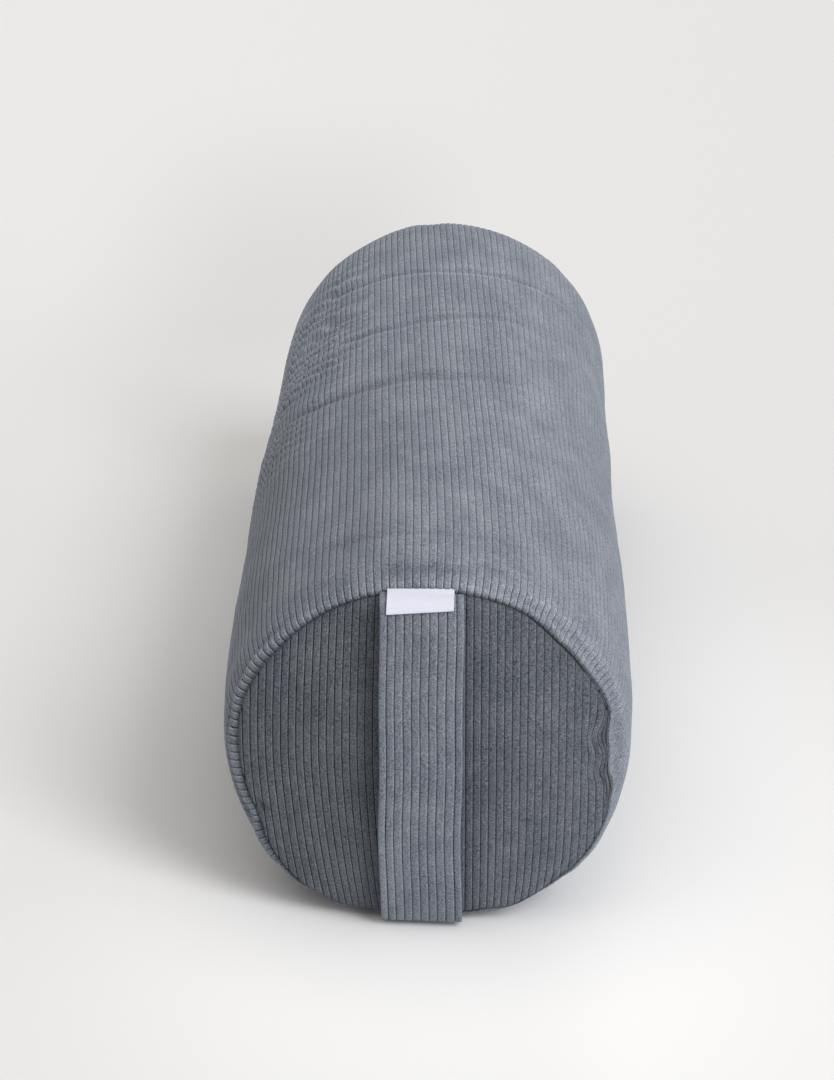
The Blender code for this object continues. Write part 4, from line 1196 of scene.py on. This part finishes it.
def make_stitches(name, start, end, material):
    """Top stitches in two grooves of the strap, as short threads that dive at both ends."""
    sewing = Sewing()
    places = np.arange(0.006, STRAP_LENGTH - 0.006, STITCH_LENGTH)
    radius = 0.00042 * np.array([0.45, 0.95, 1.0, 0.95, 0.45])
    for groove in STITCH_GROOVES:
        for place in places[(places >= start) & (places < end)]:
            at = place + STITCH_STEPS * STITCH_LENGTH * 0.80
            _, front = strap_ways(at, at + 0.0005)
            thick = strap_thickness(np.minimum(at, STRAP_LENGTH - at))
            height = thick * 0.5 * 0.60 - STITCH_PULL + 0.00030 * np.sin(np.pi * STITCH_STEPS)
            x = STRAP_LEFT + STRAP_GROOVES[groove] + strap_aside(at)
            line = with_x(x, on_strap(at) + front * height[:, None])
            sewing.thread(line, np.array([[1.0, 0.0, 0.0]]), with_x(0.0, front), radius, turned=True)
    return sewing.finish(name, material)


# Finishes

def woven(name, colour, roughness, thread, across=0, along=2, **constants):
    """Plain woven cloth: two sets of slightly uneven threads, along two axes of the piece."""
    cloth = Finish(name, colour, roughness, **constants)
    weft, warp = (
        cloth.maths("SINE", cloth.axis(cloth.place(), axis) * (2 * math.pi / thread))
        for axis in (across, along)
    )
    slubs = cloth.noise(cloth.place((0.2, 1.0, 1.0)), 0.5 / thread, 2.0, 0.5)
    soft = cloth.noise(cloth.place(), 60.0, 2.0, 0.5)
    cloth.colour_by(colour, 1.0 + 0.05 * (weft * warp) + 0.14 * (slubs - 0.5) + 0.10 * (soft - 0.5))
    cloth.set("Roughness", roughness + 0.15 * (slubs - 0.5))
    cloth.set("Normal", cloth.bump(weft * warp * 0.5 + slubs, thread * 0.3, 0.6))
    return cloth.material


def drawn_metal(name, colour, roughness):
    """Die-cast metal, polished along its length and dulled by handling."""
    metal = Finish(name, colour, roughness, metallic=1.0)
    scratches = metal.noise(metal.place((1.0, 0.06, 1.0)), 2600.0, 3.0, 0.6)
    worn = metal.noise(metal.place(), 420.0, 3.0, 0.6)
    metal.colour_by(colour, 0.82 + 0.36 * worn)
    metal.set("Roughness", roughness + 0.22 * (scratches - 0.5) + 0.20 * (worn - 0.5))
    metal.set("Normal", metal.bump(scratches, 0.00002, 0.5))
    return metal.material


def moulded_nylon(name, colour, roughness):
    """Moulded nylon: a slight orange peel, and duller where it rubs."""
    nylon = Finish(name, colour, roughness)
    peel = nylon.noise(nylon.place(), 3200.0, 2.0, 0.5)
    rubbed = nylon.noise(nylon.place(), 500.0, 2.0, 0.6)
    nylon.colour_by(colour, 0.85 + 0.30 * rubbed)
    nylon.set("Roughness", roughness + 0.25 * (rubbed - 0.5))
    nylon.set("Normal", nylon.bump(peel, 0.00003, 0.5))
    return nylon.material


def carded_fibre(name, colour):
    """Loose stuffing: lumps of carded fibre with fine strands over them."""
    fibre = Finish(name, colour, 0.95, sheen_weight=0.3, sheen_roughness=0.6)
    lumps = fibre.noise(fibre.place(), 55.0, 4.0, 0.6)
    strands = fibre.noise(fibre.place((1.0, 0.25, 0.6)), 900.0, 3.0, 0.7)
    fibre.colour_by(colour, 0.80 + 0.25 * lumps + 0.20 * strands)
    fibre.set("Normal", fibre.bump(lumps * 3.0 + strands, 0.0015, 0.8))
    return fibre.material


CORDUROY = corduroy("corduroy", 0.985, 0.52)
# The panels' and the strap's copies are darker, with deeper grooves: partly the pile's direction, partly
# painted shade of faces turned away from the light
PANEL_CORDUROY_SHADED = corduroy("panel_corduroy_shaded", 0.475, 0.80, 1.30)
STRAP_CORDUROY_SHADED = corduroy("strap_corduroy_shaded", 0.81, 0.58)
THREAD = Finish("sewing_thread", (0.035, 0.040, 0.052), 0.7, specular=0.2).material
LABEL_RIBBON = woven("label_ribbon", (0.685, 0.705, 0.815), 0.60, 0.00035, sheen_weight=0.1)
ZIP_TAPE = woven("zip_tape_weave", (0.105, 0.115, 0.135), 0.85, 0.00045, along=1)
ZIP_NYLON = moulded_nylon("zip_nylon_moulded", (0.075, 0.080, 0.092), 0.42)
ZIP_METAL = drawn_metal("zip_metal_cast", (0.42, 0.43, 0.45), 0.32)
CALICO = woven("bag_calico", (0.72, 0.67, 0.57), 0.9, 0.0007, across=1, sheen_weight=0.15)
FIBRE = carded_fibre("carded_fibre", (0.78, 0.72, 0.60))

tube, cloth_grid = make_tube(CORDUROY)
panel = make_panel("handle_panel_cloth", 0, PANEL_CORDUROY_SHADED)
plain = make_panel("plain_panel_cloth", 1, PANEL_CORDUROY_SHADED)
for piece, node in ((tube, "cover_tube"), (panel, "end_panel_handle"), (plain, "end_panel_plain")):
    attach(piece, "root")
    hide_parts(node)

upper, lower = (0.0, STRAP_LENGTH / 2), (STRAP_LENGTH / 2, STRAP_LENGTH)
halves = [
    make_strap("strap_upper", *upper, STRAP_CORDUROY_SHADED),
    make_strap("strap_lower", *lower, STRAP_CORDUROY_SHADED),
]
stitches = [
    make_stitches("strap_stitches_upper", *upper, THREAD),
    make_stitches("strap_stitches_lower", *lower, THREAD),
]
ends = (((0, 0, 0.192), (0, 0, 0.122)), ((0, 0, 0.014), (0, 0, 0.078)))
for piece, (start, end) in zip((*halves, *stitches), (*ends, *ends)):
    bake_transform(piece)
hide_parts("handle_top_end", "handle_grip")
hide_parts("handle_bottom_end")


# The label

LABEL_MIDDLE = -0.0059
LABEL_WIDTH = 0.035
LABEL_DROP = 0.0128
LABEL_TUCK = 0.0012
LABEL_LAYER = 0.0003
LABEL_TILT = math.radians(3.4)
# Heights over the strap of the label's front and back layer, and of the middle and radius of its fold
LABEL_FRONT, LABEL_BACK, FOLD_MIDDLE, FOLD_RADIUS = 0.00108, 0.00036, 0.00072, 0.00036


def label_section():
    """Round the label's folded section, as distances down from the seam and heights over the strap."""
    down = np.linspace(-LABEL_TUCK, LABEL_DROP, 15)
    turn = np.radians([60.0, 30.0, 0.0, -30.0, -60.0])
    along = np.concatenate([down, LABEL_DROP + 0.00035 * np.cos(turn), down[::-1]])
    over = np.full(len(down), 1.0)
    off = np.concatenate([over * LABEL_FRONT, FOLD_MIDDLE + FOLD_RADIUS * np.sin(turn), over * LABEL_BACK])
    middle = np.stack([along, off], axis=1)
    ahead = np.gradient(middle, axis=0)
    ahead /= np.linalg.norm(ahead, axis=1)[:, None]
    side = np.stack([-ahead[:, 1], ahead[:, 0]], axis=1) * LABEL_LAYER / 2
    return np.concatenate([middle + side, (middle - side)[::-1]]).T


def make_label(material):
    """A strip of ribbon folded in half, sewn in at the seam, a little askew on the strap."""
    x = np.linspace(-0.5, 0.5, 29)[:, None] * LABEL_WIDTH
    s, height = label_section()
    down = ramp(s, 0.0, LABEL_DROP)
    wide = x / LABEL_WIDTH * 2
    reach = s * (1.0 - 0.025 * wide) - x * math.tan(LABEL_TILT)
    lift = 0.0009 * hump(s, 0.0035) + 0.0005 * down**3 + 0.0005 * down**2 * np.clip(wide, 0.0, 1.0) ** 3
    lift = lift + 0.00012 * np.sin(x * 260.0 + 1.0) * down
    below_seam = np.maximum(reach, 0.0)
    forward, out = strap_ways(below_seam, below_seam + 0.0005)
    place = on_strap(reach) + forward * (reach - below_seam)[..., None]
    place += out * (strap_thickness(reach) / 2 + height + lift)[..., None]
    sewing = Sewing()
    count = len(s)
    uv = uv_grid(np.linspace(0, 1, count + 1), (x + 0.1) * 5.0)
    index = sewing.grid(with_x(x + LABEL_MIDDLE, place), uv)
    for row in (index[0], index[-1]):
        for k in range(count // 2 - 1):
            sewing.faces.append([int(row[j]) for j in (k, k + 1, count - 2 - k, count - 1 - k)])
            sewing.uvs.append(np.zeros((4, 2)))
    return tidy_normals(sewing.finish("folded_label", material, sharp=50))


def edit(piece, *steps):
    """Runs edit mode operators on the whole of a piece."""
    bpy.ops.object.select_all(action="DESELECT")
    piece.select_set(True)
    bpy.context.view_layer.objects.active = piece
    bpy.ops.object.mode_set(mode="EDIT")
    bpy.ops.mesh.select_all(action="SELECT")
    for step in steps:
        step()
    bpy.ops.object.mode_set(mode="OBJECT")


def tidy_normals(piece):
    edit(piece, lambda: bpy.ops.mesh.normals_make_consistent(inside=False))
    return piece


label = make_label(LABEL_RIBBON)
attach(label, "label")
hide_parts("seam_label")


# The zip

def copy_of(node, name, material):
    """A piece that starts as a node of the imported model, with its triangles merged into faces."""
    made = bpy.data.objects.new(name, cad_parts[node].data.copy())
    bpy.context.scene.collection.objects.link(made)
    made.data.materials.clear()
    made.data.materials.append(material)
    edit(
        made,
        lambda: bpy.ops.mesh.remove_doubles(threshold=0.000002),
        lambda: bpy.ops.mesh.customdata_custom_splitnormals_clear(),
        lambda: bpy.ops.mesh.tris_convert_to_quads(face_threshold=0.35, shape_threshold=0.6),
    )
    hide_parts(node)
    return made


def rounded(piece, width):
    """Rounds the edges of a hard piece."""
    bevel = piece.modifiers.new("rounded_edges", "BEVEL")
    bevel.width, bevel.segments, bevel.limit_method = width, 2, "ANGLE"
    bevel.angle_limit = math.radians(30.0)
    bpy.ops.object.modifier_apply(modifier=bevel.name)
    bpy.ops.object.shade_smooth_by_angle(angle=math.radians(40.0))
    return piece


def filled_out(piece):
    """Rounds the facets of a soft piece."""
    soften = piece.modifiers.new("filled_out", "SUBSURF")
    soften.levels = soften.render_levels = 2
    bpy.ops.object.modifier_apply(modifier=soften.name)
    piece.data.shade_smooth()
    return piece


for side in ("upper", "lower"):
    tape = rounded(copy_of(f"zip_tape_{side}", f"woven_tape_{side}", ZIP_TAPE), 0.00012)
    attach(tape, "root")
    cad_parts[f"zip_chain_{side}"].material_slots[0].material = ZIP_NYLON
    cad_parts[f"zip_top_stop_{side}"].material_slots[0].material = ZIP_METAL
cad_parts["zip_bottom_stop"].material_slots[0].material = ZIP_METAL
slider = rounded(copy_of("zip_slider", "cast_slider", ZIP_METAL), 0.00016)
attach(slider, "slider")
pull = rounded(copy_of("zip_pull", "cast_pull_tab", ZIP_METAL), 0.00018)
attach(pull, "pull")


def make_topstitching(grid, material):
    """A row of stitches on each side of the zip's slot, through the first rib beside it."""
    per_wale = len(WALE_FRACTIONS)
    sewing = Sewing()
    out = grid_normals(grid)
    radius = 0.00028 * np.array([0.5, 0.95, 1.0, 0.95, 0.5])
    height = -0.00030 + 0.00042 * np.sin(np.pi * STITCH_STEPS)
    for column in (per_wale + 3, grid.shape[1] - per_wale - 3):
        y = grid[:, column, 1]
        for start in np.arange(ZIP_OPEN_Y - 0.003, ZIP_CLOSED_Y + 0.003, 0.0032):
            at = start + STITCH_STEPS * 0.0025
            line, up = (
                np.stack([np.interp(at, y, rows[:, column, k]) for k in range(3)], axis=1)
                for rows in (grid, out)
            )
            sewing.thread(line + up * height[:, None], np.cross([0.0, 1.0, 0.0], up), up, radius)
    return tidy_normals(sewing.finish("zip_topstitching", material))


topstitching = make_topstitching(cloth_grid, THREAD)
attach(topstitching, "root")


# The inner bag and its filling

for node, name, finish, slot in (
    ("inner_bag_tube", "calico_bag_tube", CALICO, "cotton"),
    ("inner_bag_handle_end", "calico_bag_handle_end", CALICO, "cotton"),
    ("inner_bag_plain_end", "calico_bag_plain_end", CALICO, "cotton"),
    ("fibre_fill", "fibre_filling", FIBRE, "fibre"),
):
    soft = filled_out(copy_of(node, name, finish))
    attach(soft, "root")


# Stage, light and camera

FLOOR_Y = 1.5
# Moves the floor's own coordinates, so that they start at the foot of the handle
TO_HANDLE_FOOT = (-0.01, 1.84, 0.0)
# Lights, as name, way towards the light, angle in degrees, strength and colour
SUNS = (
    ("window", (0.508, -0.508, 0.695), 26.0, 1.28, (0.985, 0.99, 1.0)),
    ("low_window", (0.645, -0.645, 0.407), 26.0, 0.68, (0.985, 0.99, 1.0)),
    ("overhead", (-0.05, -0.10, 1.0), 70.0, 0.98, (1.0, 0.975, 0.95)),
    ("side_reflector", (1.0, -0.05, 0.08), 50.0, 0.55, (0.96, 0.985, 1.0)),
)
# Strength and colour of the room's light, and of the backdrop as the camera and shiny pieces see it
ROOM_LIGHT, ROOM_COLOUR = 0.33, (1.0, 0.945, 0.885, 1.0)
BACKDROP_LIGHT, BACKDROP_COLOUR = 0.86, (1.0, 0.995, 0.985, 1.0)
# The photograph's camera: degrees down, to the right and askew, place, and lens in pixels of its height
CAMERA_TURNS = (23.99, -0.81, 1.59)
CAMERA_PLACE = (0.012, -1.759, 0.879)
CAMERA_LENS = 3095.0
PHOTO_HEIGHT = 1080.0
SENSOR = 36.0


def make_stage():
    """A pale floor with painted light in front of the bolster, to its right and beside its left, and painted
    shadow behind it on the left.
    """
    bpy.ops.mesh.primitive_plane_add(size=40.0, location=(0.0, FLOOR_Y, -0.0004))
    floor = bpy.context.object
    floor.name = "floor"
    paper = Finish("studio_floor", (0.82, 0.82, 0.815), 0.9, specular=0.1)
    ground = paper.node("ShaderNodeTexCoord", output="Object")
    along = paper.axis(ground, 1) + FLOOR_Y
    across = paper.axis(ground, 0)
    near = paper.smooth(along, 0.22, -0.30)
    right = paper.smooth(across, -0.35, 0.45)
    from_foot = paper.node("ShaderNodeMapping", {}, {0: ground, 1: TO_HANDLE_FOOT})
    ahead = paper.node("ShaderNodeVectorMath", {"operation": "LENGTH"}, {0: from_foot}, output=1)
    left = paper.smooth(across, -0.36, -0.16) * paper.smooth(across, 0.06, -0.10)
    beside = left * paper.smooth(along, -0.16, 0.14) * paper.smooth(along, 0.66, 0.26)
    behind = left * paper.smooth(along, 0.26, 0.66) * paper.smooth(along, 1.4, 0.7)
    # Painted light just to the right of the bolster, towards the front
    by_right = paper.smooth(across, 0.05, 0.12) * paper.smooth(across, 0.42, 0.20)
    by_right = by_right * paper.smooth(along, 0.20, -0.05)
    # Painted light near the front, more on the right, and ahead of the handle, with the far right a little
    # darker
    light = 0.812 - 0.024 * right + 0.088 * near * right + 0.10 * paper.smooth(ahead, 0.26, 0.06)
    # Painted light beside the left, lifting the shadow there, and painted shadow behind on the left
    light = light + 0.10 * beside - 0.10 * behind + 0.045 * by_right
    warm = paper.node("ShaderNodeCombineXYZ", {}, {0: light * 0.994, 1: light, 2: light * 1.010})
    paper.set("Base Color", warm)
    floor.data.materials.append(paper.material)


def make_light():
    """Four suns, and a room that lights the bolster less than the camera sees of it."""
    world = bpy.data.worlds.new("studio")
    world.use_nodes = True
    tree = world.node_tree
    backdrop = tree.nodes["Background"]
    seen = tree.nodes.new("ShaderNodeLightPath")
    share = tree.nodes.new("ShaderNodeMath")
    share.operation = "MAXIMUM"
    tree.links.new(seen.outputs["Is Camera Ray"], share.inputs[0])
    tree.links.new(seen.outputs["Is Glossy Ray"], share.inputs[1])
    strength = tree.nodes.new("ShaderNodeMapRange")
    strength.inputs[3].default_value, strength.inputs[4].default_value = ROOM_LIGHT, BACKDROP_LIGHT
    tree.links.new(share.outputs[0], strength.inputs[0])
    tree.links.new(strength.outputs[0], backdrop.inputs["Strength"])
    hue = tree.nodes.new("ShaderNodeMix")
    hue.data_type = "RGBA"
    hue.inputs[6].default_value, hue.inputs[7].default_value = ROOM_COLOUR, BACKDROP_COLOUR
    tree.links.new(share.outputs[0], hue.inputs[0])
    tree.links.new(hue.outputs[2], backdrop.inputs["Color"])
    bpy.context.scene.world = world
    for name, towards, angle, energy, colour in SUNS:
        lamp = bpy.data.lights.new(name, "SUN")
        lamp.energy, lamp.angle, lamp.color = energy, math.radians(angle), colour
        made = bpy.data.objects.new(name, lamp)
        made.rotation_euler = Vector(towards).to_track_quat("Z", "Y").to_euler()
        bpy.context.scene.collection.objects.link(made)


def make_camera():
    """The camera at the place, tilt and lens of the photograph."""
    pitch, yaw, roll = (math.radians(turn) for turn in CAMERA_TURNS)
    ahead = Vector((math.sin(yaw) * math.cos(pitch), math.cos(yaw) * math.cos(pitch), -math.sin(pitch)))
    right = ahead.cross(Vector((0.0, 0.0, 1.0))).normalized()
    up = right.cross(ahead)
    side = right * math.cos(roll) + up * math.sin(roll)
    top = up * math.cos(roll) - right * math.sin(roll)
    data = bpy.data.cameras.new("camera")
    data.sensor_width, data.lens = SENSOR, CAMERA_LENS * SENSOR / PHOTO_HEIGHT
    camera = bpy.data.objects.new("camera", data)
    camera.matrix_world = Matrix((side, top, -ahead)).transposed().to_4x4()
    camera.location = CAMERA_PLACE
    bpy.context.scene.collection.objects.link(camera)
    bpy.context.scene.camera = camera


make_stage()
make_light()
make_camera()
bpy.context.scene.view_settings.view_transform = "Standard"
